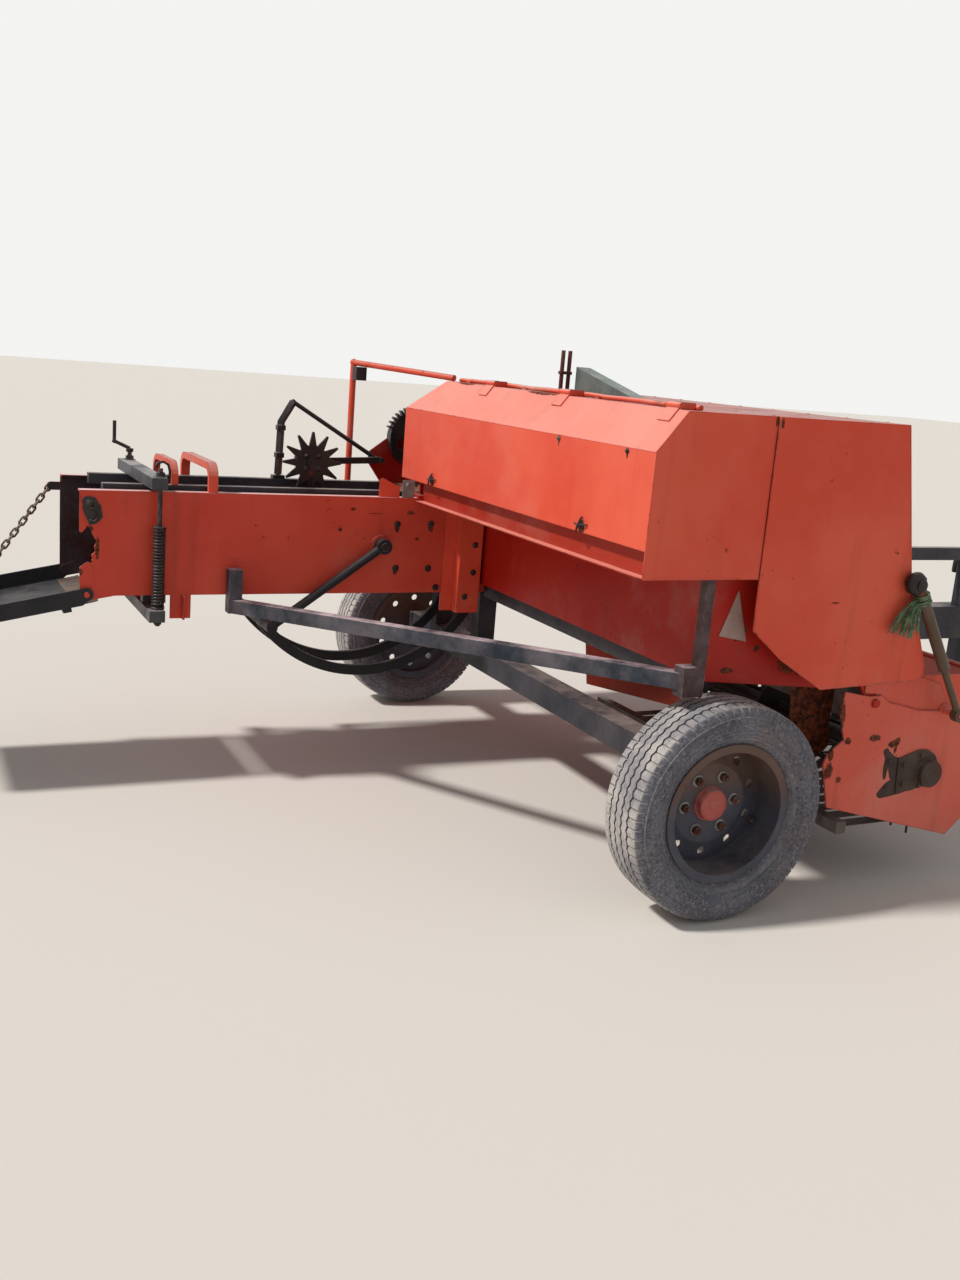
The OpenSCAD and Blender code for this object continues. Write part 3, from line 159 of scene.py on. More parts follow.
def stains_on(axis: Axis, place: float, *rows: tuple[float, float, float, float]) -> tuple[StainAndShadeMark, ...]:
    """Give marks on one flat face.

    Args:
        axis: The axis that the face lies across.
        place: Where it lies along that axis.
        rows: For each mark its places in the two other axes and its reach along both.

    Returns:
        The marks, which reach 0.02 m through the face.
    """
    return tuple(StainAndShadeMark(axis.put(a, b, place), axis.put(reach_a, reach_b, 0.02)) for a, b, reach_a, reach_b in rows)


class Nodes:
    """Short-hand for building the node tree of a material or of the world."""

    def __init__(self, owner: bpy.types.ID, origin: Optional[Vector] = None) -> None:
        """Start an empty tree.

        Args:
            owner: The material or world that it belongs to.
            origin: The measured datum in the row frame, for marks at measured places.
        """
        owner.use_nodes = True
        self.owner = owner
        self.tree = owner.node_tree
        self.tree.nodes.clear()
        self.origin = origin or Vector()

    @cached_property
    def coord(self) -> bpy.types.Node:
        """The texture coordinates that the tree's nodes share."""
        return self.node("ShaderNodeTexCoord")

    def node(self, kind: str, inputs: Optional[dict] = None, **settings: object) -> bpy.types.Node:
        """Add a node.

        Args:
            kind: The node's type name.
            inputs: A socket, a number or a colour for each input that is used, by name or place.
            settings: Attributes to set on it.

        Returns:
            The new node.
        """
        made = self.tree.nodes.new(kind)
        for key, value in settings.items():
            setattr(made, key, value)
        for key, value in (inputs or {}).items():
            self.plug(value, made.inputs[key])
        return made

    def plug(self, source: object, target: Socket) -> None:
        """Link a socket to target, or set target's own value when source is a number or colour.

        Args:
            source: A socket, a number or a colour.
            target: The input that takes it.
        """
        if isinstance(source, Socket):
            self.tree.links.new(source, target)
        elif isinstance(source, tuple) and len(source) < len(target.default_value):
            target.default_value = (*source, 1.0)
        else:
            target.default_value = source

    def noise(self, scale: float, detail: float = 3.0, rough: float = 0.55,
              stretch: Point = (1.0, 1.0, 1.0)) -> Socket:
        """Give noise in the piece's own coordinates.

        Args:
            scale: How fine it is.
            detail: How many finer layers it has.
            rough: How strong those are.
            stretch: Scale along each axis; the noise is drawn out where it is small.

        Returns:
            The noise, about 0..1.
        """
        mapping = self.node("ShaderNodeMapping", {"Scale": stretch, "Vector": self.coord.outputs["Object"]})
        return self.node("ShaderNodeTexNoise", {"Vector": mapping.outputs["Vector"], "Scale": scale,
                                                "Detail": detail, "Roughness": rough}).outputs["Fac"]

    def band(self, value: object, low: float, high: float, to_low: float = 0.0, to_high: float = 1.0) -> Socket:
        """Map a value from low..high to to_low..to_high, clamped and smooth."""
        inputs = {"From Min": low, "From Max": high, "To Min": to_low, "To Max": to_high, "Value": value}
        return self.node("ShaderNodeMapRange", inputs, interpolation_type="SMOOTHSTEP").outputs["Result"]

    def math(self, operation: str, first: object, second: object = 0.0, clamp: bool = True) -> Socket:
        """Do the named sum on one or two values, kept within 0..1 unless clamp is off."""
        return self.node("ShaderNodeMath", {0: first, 1: second}, operation=operation, use_clamp=clamp).outputs[0]

    def vector(self, operation: str, first: object, second: object = (0.0, 0.0, 0.0)) -> bpy.types.Node:
        """Do sums on one or two vectors, and give the node that does them."""
        return self.node("ShaderNodeVectorMath", {0: first, 1: second}, operation=operation)

    def mix(self, share: object, first: object, second: object) -> Socket:
        """Blend two colours, from the first at share 0 to the second at share 1."""
        return self.node("ShaderNodeMix", {"Factor": share, "A": first, "B": second},
                         data_type="RGBA").outputs["Result"]

    def clouds(self, under: object, over: object, noise: tuple, band: tuple[float, ...]) -> Socket:
        """Lay one colour over another in clouds; noise and band are what the methods of those names take."""
        return self.mix(self.band(self.noise(*noise), *band), under, over)

    def split(self, output: str) -> bpy.types.Node:
        """Separate one of the texture coordinates into x, y and z."""
        return self.node("ShaderNodeSeparateXYZ", {"Vector": self.coord.outputs[output]})

    def beyond(self, axis: Axis, place: float, fade: float = 0.02) -> Socket:
        """Give 1 beyond a measured place along an axis, setting in over fade metres."""
        start = place + self.origin["XYZ".index(axis.value)]
        return self.band(self.split("Object").outputs[axis.value], start, start + fade)

    def facing(self, inside: Inside) -> Socket:
        """Give 1 on faces that look the way that inside names."""
        axis, sign = inside.value
        return self.band(self.math("MULTIPLY", self.split("Normal").outputs[axis], sign), 0.7, 0.9)

    def stain_and_shade_marks(self, marks: Sequence[StainAndShadeMark]) -> Optional[Socket]:
        """Give 1 inside ragged marks at measured places.

        Args:
            marks: The marks.

        Returns:
            The share, 0..1, or None when there are no marks.
        """
        if not marks:
            return None
        ragged = self.math("MULTIPLY", self.noise(55.0, 5.0, 0.7), 1.5, False)
        total = None
        for mark in marks:
            away = self.vector("SUBTRACT", self.coord.outputs["Object"], Vector(mark.at) + self.origin)
            scaled = self.vector("DIVIDE", away.outputs["Vector"], mark.size)
            length = self.vector("LENGTH", scaled.outputs["Vector"]).outputs["Value"]
            spot = self.band(self.math("ADD", length, ragged, False), 1.45, 1.75, 1.0, 0.0)
            total = spot if total is None else self.math("MAXIMUM", total, spot)
        return total

    def edges(self, radius: float) -> tuple[Socket, Socket]:
        """Find sharp edges.

        Args:
            radius: How far from an edge the effect reaches, in metres.

        Returns:
            A 0..1 share that is high beside edges, and the rounded normal.
        """
        rounded = self.node("ShaderNodeBevel", {"Radius": radius}, samples=4).outputs["Normal"]
        dot = self.vector("DOT_PRODUCT", rounded, self.node("ShaderNodeNewGeometry").outputs["Normal"])
        return self.band(self.math("SUBTRACT", 1.0, dot.outputs["Value"]), 0.01, 0.16), rounded

    def shader(self, colour: object, roughness: object, metallic: object = 0.0, height: object = None,
               depth: float = 0.001, normal: object = None, specular: float = 0.5) -> bpy.types.Material:
        """Close the tree with one surface shader.

        Args:
            colour: Base colour.
            roughness: Roughness.
            metallic: Share of metal.
            height: Height for the bump, 0..1.
            depth: What a height of 1 means in metres.
            normal: Normal that the bump starts from.
            specular: Specular level.

        Returns:
            The finished material.
        """
        surface = self.node("ShaderNodeBsdfPrincipled", {"Base Color": colour, "Roughness": roughness,
                                                         "Metallic": metallic, "Specular IOR Level": specular})
        if height is not None:
            bump = self.node("ShaderNodeBump", {"Strength": 1.0, "Distance": depth, "Height": height})
            if normal is not None:
                self.plug(normal, bump.inputs["Normal"])
            normal = bump.outputs["Normal"]
        if normal is not None:
            self.plug(normal, surface.inputs["Normal"])
        self.node("ShaderNodeOutputMaterial", {"Surface": surface.outputs["BSDF"]})
        return self.owner


RUST_DARK = srgb(58, 30, 22)
RUST_WARM = srgb(122, 62, 38)
DUST = srgb(196, 180, 168)
GRIME = srgb(62, 54, 60)


@dataclass(frozen=True)
class Finish:
    """What every finish can do."""

    def lay(self, n: Nodes) -> bpy.types.Material:
        """Fill the empty tree n with the finish, and give its material."""
        raise NotImplementedError

    def make(self, name: str, origin: Vector) -> bpy.types.Material:
        """Build a material of this name; origin is the measured datum in the row frame."""
        return self.lay(Nodes(bpy.data.materials.new(name), origin))


@dataclass(frozen=True)
class Paint(Finish):
    """Sun-bleached enamel on sheet steel, with rust at the edges, chips, dirt runs and marks; its pale slopes and
    tops are partly painted sheen.
    """
    fresh: Colour
    faded: Colour
    # sloped and top: colours of faces that lean up and look up; sun-bleach and dust, partly painted sheen of sunlit
    # faces
    sloped: Colour = srgb(226, 142, 127)
    top: Colour = srgb(220, 168, 164)
    rust: float = 0.4
    wear: float = 0.6
    dirt: float = 0.35
    roughness: float = 0.40
    inside: Inside = Inside.NOWHERE
    marks: tuple[StainAndShadeMark, ...] = ()

    def _body(self, n: Nodes) -> Socket:
        """Give the paint's colour: fading, bleached slopes, dust on tops and dirt runs; the slopes and tops are
        partly painted sheen.

        Args:
            n: The material's tree.

        Returns:
            The colour.
        """
        body = n.clouds(self.fresh, self.faded, (1.6, 4.0), (0.38, 0.66))
        body = n.clouds(body, self.faded, (14.0, 5.0, 0.7), (0.35, 0.75, 0.0, 0.3))
        lean = n.split("Normal").outputs["Z"]
        # Faces that lean up pale towards the sloped colour: sun-bleach, partly painted sheen.
        bleach_and_sheen = n.math("MULTIPLY", n.band(lean, 0.12, 0.55), n.band(n.noise(3.0, 4.0), 0.2, 0.7, 0.72, 1.0))
        body = n.mix(bleach_and_sheen, body, self.sloped)
        # Faces that look up take the top colour in patches: dust, partly painted sheen.
        pale_tone = n.band(n.noise(6.0, 5.0, 0.7), 0.25, 0.7, 0.6, 1.0)
        body = n.mix(n.math("MULTIPLY", n.band(lean, 0.82, 0.96), pale_tone), body, self.top)
        body = n.clouds(body, srgb(108, 46, 34), (11.0, 4.0, 0.6, (1.0, 1.0, 0.07)), (0.56, 0.78, 0.0, self.dirt))
        return n.clouds(body, DUST, (2.2, 5.0, 0.65), (0.52, 0.8, 0.0, self.dirt * 0.7))

    def lay(self, n: Nodes) -> bpy.types.Material:
        """Lay chips, rubbed edges, marks and a dirty inner face over the paint; one mark on the trough is painted
        shade in rust colours.

        Args:
            n: The empty tree.

        Returns:
            The material.
        """
        body = self._body(n)
        start = 0.06 * self.rust
        chips = n.math("MULTIPLY", n.band(n.noise(46.0, 6.0, 0.72), 0.665 - start, 0.69 - start),
                       n.band(n.noise(2.7, 3.0), 0.5, 0.62))
        edge, rounded = n.edges(0.005)
        scuffs = n.band(n.noise(19.0, 5.0, 0.7), 0.62 - 0.25 * self.wear, 0.7 - 0.15 * self.wear)
        worn = n.math("MAXIMUM", chips, n.math("MULTIPLY", edge, scuffs))
        # The marks are rust, and on the trough also painted shade.
        spots = n.stain_and_shade_marks(self.marks)
        if spots is not None:
            worn = n.math("MAXIMUM", worn, spots)
        colour = n.mix(worn, body, n.clouds(RUST_DARK, RUST_WARM, (60.0, 4.0), (0.35, 0.65)))
        if self.inside is not Inside.NOWHERE:
            dirty = n.clouds(GRIME, RUST_DARK, (12.0, 5.0, 0.7), (0.4, 0.7))
            colour = n.mix(n.facing(self.inside), colour, dirty)
        gloss = n.band(n.noise(9.0, 4.0), 0.3, 0.7, self.roughness - 0.07, self.roughness + 0.12)
        rough = n.math("ADD", gloss, n.math("MULTIPLY", worn, 0.4))
        height = n.math("SUBTRACT", n.math("MULTIPLY", n.noise(4.0, 2.0), 0.7), n.math("MULTIPLY", worn, 0.22))
        return n.shader(colour, rough, 0.0, height, 0.0020, rounded, 0.22)


@dataclass(frozen=True)
class Steel(Finish):
    """Plain or painted dark steel with rust film, dust and rubbed edges; on the brace, the pale tops and edges are
    painted highlight.
    """
    base: Colour
    shade: Colour
    rust: float = 0.3
    # dust: how strongly faces that look up take the pale tone; dust on most coats, painted highlight on the brace
    dust: float = 0.25
    metallic: float = 0.1
    roughness: float = 0.5
    specular: float = 0.28
    edge: Colour = srgb(138, 132, 128)
    pale_tone: Colour = DUST
    zone: Optional[tuple[Axis, float, Colour]] = None
    zone_fade: float = 0.02

    def lay(self, n: Nodes) -> bpy.types.Material:
        """Lay the zone's colour, rust film, dust and rubbed edges over the base; on the brace, the pale tops and
        edges are painted highlight.

        Args:
            n: The empty tree.

        Returns:
            The material.
        """
        body = n.clouds(self.base, self.shade, (6.0, 5.0, 0.65), (0.35, 0.65))
        if self.zone:
            axis, place, colour = self.zone
            body = n.mix(n.beyond(axis, place, self.zone_fade), body, colour)
        low = 0.72 - 0.3 * self.rust
        film = n.band(n.noise(9.0, 7.0, 0.75), low, low + 0.14)
        rust = n.clouds(RUST_DARK, RUST_WARM, (42.0, 5.0), (0.3, 0.7))
        body = n.mix(n.math("MULTIPLY", film, 0.85), body, rust)
        # Faces that look up take the pale tone: settled dust, and on the brace a painted highlight.
        up = n.band(n.split("Normal").outputs["Z"], 0.2, 0.9, 0.15, 1.0)
        settled_dust_and_highlight = n.math("MULTIPLY", n.band(n.noise(5.0, 5.0, 0.7), 0.3, 0.72, 0.0, self.dust), up)
        body = n.mix(settled_dust_and_highlight, body, self.pale_tone)
        # Pale edges: rubbed metal, and on the brace a painted highlight along its edges.
        edge, rounded = n.edges(0.004)
        bare_edge_and_highlight = n.math("MULTIPLY", edge, n.band(n.noise(24.0, 4.0, 0.7), 0.45, 0.62, 0.0, 0.8))
        body = n.mix(bare_edge_and_highlight, body, self.edge)
        gloss = n.band(n.noise(12.0, 4.0), 0.3, 0.7, self.roughness - 0.1, self.roughness + 0.1)
        metal = n.math("SUBTRACT", self.metallic, n.math("MULTIPLY", film, self.metallic))
        height = n.math("ADD", n.math("MULTIPLY", n.noise(85.0, 4.0), 0.35), n.math("MULTIPLY", film, 0.4))
        return n.shader(body, n.math("ADD", gloss, n.math("MULTIPLY", film, 0.25)), metal, height, 0.0007, rounded,
                        self.specular)


@dataclass(frozen=True)
class Rubber(Finish):
    """Old tyre rubber: blue-grey speckled walls and a tread that is pale with dust."""
    wall: Colour = srgb(88, 88, 97)
    bloom: Colour = srgb(112, 112, 121)
    tread: Colour = srgb(134, 132, 135)
    pale_tone: Colour = srgb(186, 180, 174)

    def lay(self, n: Nodes) -> bpy.types.Material:
        """Speckle the walls and dust the tread.

        Args:
            n: The empty tree.

        Returns:
            The material.
        """
        walls = n.clouds(self.wall, self.bloom, (7.0, 6.0, 0.7), (0.35, 0.7))
        walls = n.clouds(walls, srgb(112, 98, 92), (3.0, 4.0), (0.5, 0.66, 0.0, 0.6))
        walls = n.clouds(walls, srgb(156, 152, 154), (110.0, 5.0, 0.8), (0.52, 0.60, 0.0, 0.6))
        walls = n.clouds(walls, srgb(40, 40, 48), (82.0, 5.0, 0.8), (0.54, 0.62, 0.0, 0.65))
        crown = n.clouds(self.tread, self.pale_tone, (5.0, 6.0, 0.72), (0.36, 0.62))
        crown = n.clouds(crown, srgb(96, 92, 92), (60.0, 4.0, 0.7), (0.5, 0.7, 0.0, 0.5))
        side = n.math("ABSOLUTE", n.split("Normal").outputs["Y"])
        height = n.math("MULTIPLY", n.noise(160.0, 4.0), 0.6)
        return n.shader(n.mix(n.band(side, 0.25, 0.8), crown, walls), n.band(n.noise(9.0), 0.3, 0.7, 0.74, 0.92),
                        0.0, height, 0.0006, None, 0.22)


@dataclass(frozen=True)
class Fibre(Finish):
    """Old plastic baler twine, faded and dirty."""
    base: Colour
    pale: Colour

    def lay(self, n: Nodes) -> bpy.types.Material:
        """Fade and dirty the twine.

        Args:
            n: The empty tree.

        Returns:
            The material.
        """
        body = n.clouds(self.base, self.pale, (38.0, 4.0, 0.7), (0.35, 0.65))
        body = n.clouds(body, srgb(70, 66, 52), (120.0, 3.0), (0.55, 0.7, 0.0, 0.5))
        return n.shader(body, 0.7, 0.0, n.noise(400.0, 2.0), 0.0005, None, 0.3)


HOOD_MARKS = stains_on(
    Axis.X, -0.365, (1.545, 1.150, 0.022, 0.020), (0.407, 1.150, 0.022, 0.022), (0.415, 1.105, 0.008, 0.050),
    (1.550, 1.100, 0.008, 0.040), (0.593, 1.396, 0.006, 0.018), (0.194, 1.396, 0.006, 0.018)) + stains_on(
    Axis.Y, 0.050, (0.036, 1.515, 0.006, 0.018)) + (
    StainAndShadeMark((-0.270, 0.900, 1.530), (0.010, 0.120, 0.012)), StainAndShadeMark((-0.268, 1.500, 1.530), (0.010, 0.090, 0.012)))
# The first trough mark darkens the perforated plate below the trough's end in rust colours: partly rust, partly
# painted shade.
TROUGH_MARKS = (StainAndShadeMark((0.460, 0.202, 0.560), (0.26, 0.075, 0.28)),) + stains_on(
    Axis.Y, 0.121, (0.042, 0.862, 0.012, 0.010), (0.072, 0.886, 0.010, 0.012), (0.126, 0.828, 0.014, 0.012),
    (0.020, 0.760, 0.030, 0.012)) + stains_on(Axis.Y, 0.124, (0.300, 0.780, 0.10, 0.05))
PANEL_MARKS = stains_on(
    Axis.Y, 0.050, (0.057, 1.512, 0.008, 0.018), (0.349, 0.981, 0.018, 0.003), (0.068, 0.850, 0.012, 0.010),
    (0.056, 0.885, 0.008, 0.008))
CHAMBER_MARKS = stains_on(
    Axis.Y, 1.700, (-0.527, 1.004, 0.034, 0.002), (-0.433, 0.950, 0.012, 0.022), (-0.289, 0.952, 0.012, 0.022),
    (-0.430, 0.778, 0.012, 0.020), (-0.620, 1.020, 0.012, 0.008), (-0.670, 0.940, 0.008, 0.010),
    (-0.380, 1.010, 0.016, 0.010), (-0.345, 0.905, 0.010, 0.008), (-1.604, 0.932, 0.016, 0.012),
    (-1.634, 0.775, 0.010, 0.012), (-1.578, 0.860, 0.008, 0.045))
PICKUP_MARKS = stains_on(
    Axis.Y, 0.080, (0.509, 0.518, 0.016, 0.014), (0.622, 0.521, 0.030, 0.014), (0.708, 0.496, 0.022, 0.014),
    (0.444, 0.420, 0.022, 0.030), (0.491, 0.387, 0.012, 0.012), (0.724, 0.503, 0.016, 0.016),
    (0.690, 0.494, 0.007, 0.007), (0.720, 0.480, 0.008, 0.020), (0.470, 0.600, 0.014, 0.060),
    (0.445, 0.480, 0.014, 0.030))
ORANGE = {"fresh": srgb(216, 76, 53), "faded": srgb(226, 96, 72)}
WALL = {"fresh": srgb(202, 66, 48), "faded": srgb(211, 82, 62), "top": srgb(236, 190, 188), "rust": 0.5, "wear": 0.5,
        "dirt": 0.25, "marks": CHAMBER_MARKS}


class Coat(Enum):
    """The coats, each with its material's name, the record's slot that it belongs to and its finish."""
    HOOD = ("faded_orange_paint", "paint", Paint(**ORANGE, marks=HOOD_MARKS, rust=0.15, wear=0.35, dirt=0.15))
    PANEL = ("stained_orange_paint", "paint", Paint(**ORANGE, marks=PANEL_MARKS, rust=0.3, wear=0.5, dirt=0.25))
    CHAMBER_RIGHT = ("right_chamber_paint", "paint", Paint(**WALL, inside=Inside.LEFT))
    CHAMBER_LEFT = ("left_chamber_paint", "paint", Paint(**WALL, inside=Inside.RIGHT))
    PICKUP = ("patched_orange_paint", "paint", Paint(
        srgb(214, 88, 70), srgb(220, 104, 85), rust=0.6, wear=1.0, dirt=0.3, marks=PICKUP_MARKS))
    WORN = ("worn_orange_paint", "paint", Paint(
        **ORANGE, sloped=srgb(204, 116, 100), top=srgb(186, 112, 104), rust=0.9, wear=1.0, dirt=0.5))
    CAP = ("dull_red_cap", "paint", Paint(
        srgb(182, 92, 84), srgb(198, 128, 122), rust=1.1, wear=0.8, dirt=0.9, roughness=0.6))
    DEEP_RED = ("deep_red_paint", "paint_dark", Paint(
        srgb(172, 26, 15), srgb(184, 42, 28), sloped=srgb(180, 84, 70), top=srgb(150, 100, 88), rust=0.6, wear=0.7,
        dirt=0.5, marks=TROUGH_MARKS))
    DARK = ("black_blue_steel", "steel_dark", Steel(
        srgb(42, 43, 51), srgb(56, 57, 66), rust=0.35, dust=0.5, specular=0.22))
    # The brace's pale pink tops and pale edges are a painted highlight along its top edge.
    BRACE = ("brace_and_upright", "steel_dark", Steel(
        srgb(28, 36, 45), srgb(40, 48, 58), rust=0.25, dust=1.1, edge=srgb(170, 160, 160), pale_tone=srgb(214, 196, 200),
        zone=(Axis.X, -0.186, srgb(50, 22, 16)), specular=0.2))
    RUSTED = ("brown_rusted_steel", "steel_dark", Steel(
        srgb(110, 82, 70), srgb(84, 58, 48), rust=0.7, dust=0.3, edge=RUST_WARM, roughness=0.6, specular=0.2))
    OILY = ("oily_castings", "steel_dark", Steel(
        srgb(28, 26, 29), srgb(48, 40, 38), rust=0.4, dust=0.2, metallic=0.25, roughness=0.42))
    RIM = ("rusty_rim", "steel_dark", Steel(
        srgb(62, 66, 80), srgb(78, 80, 92), rust=0.5, dust=0.35, edge=RUST_WARM, specular=0.22,
        zone=(Axis.Z, 0.300, srgb(98, 78, 70)), zone_fade=0.16))
    BLUE = ("grey_blue_paint", "steel_blue", Steel(
        srgb(24, 24, 28), srgb(35, 34, 38), rust=0.45, dust=0.35, pale_tone=srgb(128, 124, 122)))
    BEAM = ("dusty_beam", "steel_blue", Steel(
        srgb(40, 42, 50), srgb(56, 58, 66), rust=0.4, dust=1.0, pale_tone=srgb(168, 164, 162)))
    BARE = ("worn_bare_steel", "steel_bare", Steel(
        srgb(112, 100, 92), srgb(84, 68, 58), rust=0.75, dust=0.3, metallic=0.5, roughness=0.48, specular=0.4))
    STAND = ("rusty_stand", "steel_bare", Steel(
        srgb(74, 82, 80), srgb(104, 112, 108), rust=0.35, dust=0.6, pale_tone=srgb(178, 186, 180),
        zone=(Axis.Y, 1.425, srgb(86, 34, 28))))
    ZINC = ("dull_zinc", "galvanised", Steel(
        srgb(150, 152, 154), srgb(118, 116, 112), rust=0.4, dust=0.25, metallic=0.5, roughness=0.5, specular=0.5))
    BANDS = ("stained_bands", "galvanised", Steel(
        srgb(96, 88, 84), srgb(70, 58, 52), rust=0.7, dust=0.4, metallic=0.3))
    OLIVE = ("olive_paint", "olive", Steel(srgb(84, 66, 52), srgb(98, 80, 62), rust=0.45, dust=0.35))
    DECK = ("dusty_orange_paint", "paint", Paint(**ORANGE, top=srgb(150, 92, 84), rust=0.6, wear=0.8, dirt=0.9))
    TORN = ("torn_brown_steel", "steel_dark", Steel(
        srgb(78, 62, 54), srgb(58, 46, 42), rust=0.45, dust=0.3, edge=srgb(96, 62, 50), specular=0.15))
    # The skirt's deeper red is painted shade under the lid's overhang, and its pale top is a painted sunlit line
    # along the lip.
    SKIRT = ("deep_orange_paint", "paint", Paint(
        srgb(152, 42, 27), srgb(162, 54, 38), top=srgb(238, 150, 134), rust=0.3, wear=0.5, dirt=0.3))
    SIGN = ("bare_sign_plate", "plate_pale", Steel(
        srgb(176, 150, 140), srgb(138, 108, 98), rust=0.6, dust=0.3, edge=RUST_DARK))
    RUBBER = ("dusty_rubber", "rubber", Rubber())
    TWINE = ("faded_green_twine", "olive", Fibre(srgb(64, 96, 70), srgb(128, 150, 118)))

    @property
    def slot(self) -> str:
        """The record's material slot."""
        return self.value[1]

    def make(self, origin: Vector) -> bpy.types.Material:
        """Build the coat's material; origin is the measured datum in the row frame."""
        label, _, finish = self.value
        return finish.make(label, origin)

    @classmethod
    def default(cls, slot: str) -> "Coat":
        """Give the first coat that belongs to one of the record's slots."""
        return next(coat for coat in cls if coat.slot == slot)


UP, DOWN = (0, 0, 1), (0, 0, -1)
LEFT, RIGHT = (0, 1, 0), (0, -1, 0)
AHEAD, REAR = (1, 0, 0), (-1, 0, 0)
WASHER_TOP = 0.0024


@dataclass
class Shaper:
    """Gathers the faces of one piece, in measured places.

    Args:
        name: The piece's name.
        coat: Its finish.
        body: The CAD body it rides on.
        bevel: Width of the bevel on its sharp edges, or 0 for none.
        smooth: Angle in degrees below which neighbouring faces shade as one surface.
        replaces: A CAD node that it stands for.
        mesh: Its faces.
    """
    name: str
    coat: Coat
    body: str = "frame"
    bevel: float = 0.0
    smooth: float = 38.0
    replaces: Optional[str] = None
    mesh: bmesh.types.BMesh = field(default_factory=bmesh.new)

    @staticmethod
    def _circle(middle: Vector, u: Vector, v: Vector, radius: float, sides: int) -> list[Vector]:
        """Give points round a middle, in the plane of u and v."""
        return [middle + (u * math.cos(a) + v * math.sin(a)) * radius
                for a in (2 * math.pi * k / sides for k in range(sides))]

    @staticmethod
    def _frame(axis: Sequence[float]) -> tuple[Vector, Vector, Vector]:
        """Give two directions across an axis, and the axis itself.

        Args:
            axis: The axis, of any length.

        Returns:
            The three as unit vectors.
        """
        n = Vector(axis).normalized()
        helper = Vector((0, 0, 1)) if abs(n.z) < 0.9 else Vector((1, 0, 0))
        u = helper.cross(n).normalized()
        return u, n.cross(u), n

    def rings(self, rings: Sequence[Sequence[Vector]], closed: bool = False) -> None:
        """Skin a row of rings with quads.

        Args:
            rings: Rings of equal length.
            closed: Join the last ring to the first, and otherwise close both ends.
        """
        made = [[self.mesh.verts.new(p) for p in ring] for ring in rings]
        count = len(made[0])
        pairs = list(zip(made, made[1:])) + ([(made[-1], made[0])] if closed else [])
        for first, second in pairs:
            for k in range(count):
                self.mesh.faces.new((first[k], first[(k + 1) % count], second[(k + 1) % count], second[k]))
        if not closed:
            self.mesh.faces.new(list(reversed(made[0])))
            self.mesh.faces.new(made[-1])

    def prism(self, outline: Sequence[Flat], start: float, depth: float, axis: Axis = Axis.Y) -> None:
        """Extrude an outline along an axis.

        Args:
            outline: Points in the two other axes, in x, y, z order.
            start: Where it starts along the axis.
            depth: How deep it is.
            axis: Direction of the extrusion.
        """
        self.rings([[Vector(axis.put(a, b, start + step)) for a, b in outline] for step in (0.0, depth)])

    def box(self, low: Point, high: Point) -> None:
        """Add a box from its two corners."""
        self.prism([low[:2], (high[0], low[1]), high[:2], (low[0], high[1])], low[2], high[2] - low[2], Axis.Z)

    def lathe(self, centre: Sequence[float], axis: Sequence[float], profile: Sequence[Flat],
              sides: int = 24) -> None:
        """Turn a profile round an axis.

        Args:
            centre: Where the axis starts.
            axis: Its direction.
            profile: Pairs of place along the axis and radius.
            sides: Facets round it.
        """
        u, v, n = self._frame(axis)
        self.rings([self._circle(Vector(centre) + n * along, u, v, radius, sides) for along, radius in profile])

    def tube(self, path: Sequence[Point], radius: float, sides: int = 12, closed: bool = False) -> None:
        """Run a round bar along a path, turning smoothly at each point.

        Args:
            path: The points.
            radius: The bar's radius.
            sides: Facets round it.
            closed: Join the end to the start.
        """
        points = [Vector(p) for p in path]
        count = len(points)
        rings = []
        side = None
        for k, point in enumerate(points):
            before = points[k - 1] if k or closed else points[0]
            after = points[(k + 1) % count] if k + 1 < count or closed else points[-1]
            tangent = (after - before).normalized()
            side = self._frame(tangent)[0] if side is None else (side - tangent * side.dot(tangent)).normalized()
            rings.append(self._circle(point, side, tangent.cross(side), radius, sides))
        self.rings(rings, closed)

    def bolt(self, at: Sequence[float], axis: Sequence[float], across: float = 0.011, height: float = 0.008,
             washer: bool = True, stud: float = 0.0) -> None:
        """Add a hex head or nut with its washer, standing on a face.

        Args:
            at: Centre of the seat on the face.
            axis: Direction that the head stands in.
            across: Distance from the middle to a corner of the hexagon.
            height: Height of the head.
            washer: Whether a washer lies below it.
            stud: How far a stud's end stands out of it.
        """
        u, v, n = self._frame(axis)
        base = Vector(at)
        if washer:
            self.lathe(at, n, [(-0.0005, across * 1.45), (0.0018, across * 1.45), (0.0025, across * 1.3)], 18)
            base = base + n * WASHER_TOP
        corners = [polar(60 * k + 11, 1.0) for k in range(6)]
        ring = [u * a + v * b for a, b in corners]
        self.rings([[base + n * height * level + d * across * width for d in ring]
                    for level, width in ((0.0, 1.0), (0.8, 1.0), (1.0, 0.82))])
        if stud:
            self.lathe(base, n, [(0.0, across * 0.5), (height + stud * 0.8, across * 0.5),
                                 (height + stud, across * 0.38)], 12)

    def coil(self, centre: Point, radius: float, wire: float, length: float, turns: int) -> None:
        """Wind a close spring upwards.

        Args:
            centre: Where its axis starts.
            radius: From the axis to the middle of the wire.
            wire: The wire's radius.
            length: The spring's length.
            turns: Its turns.
        """
        per_turn = 20
        steps = turns * per_turn
        circle = moved(centre[:2], [polar(360 * k / per_turn, radius) for k in range(steps + 1)])
        self.tube([(x, y, centre[2] + length * k / steps) for k, (x, y) in enumerate(circle)], wire, 8)


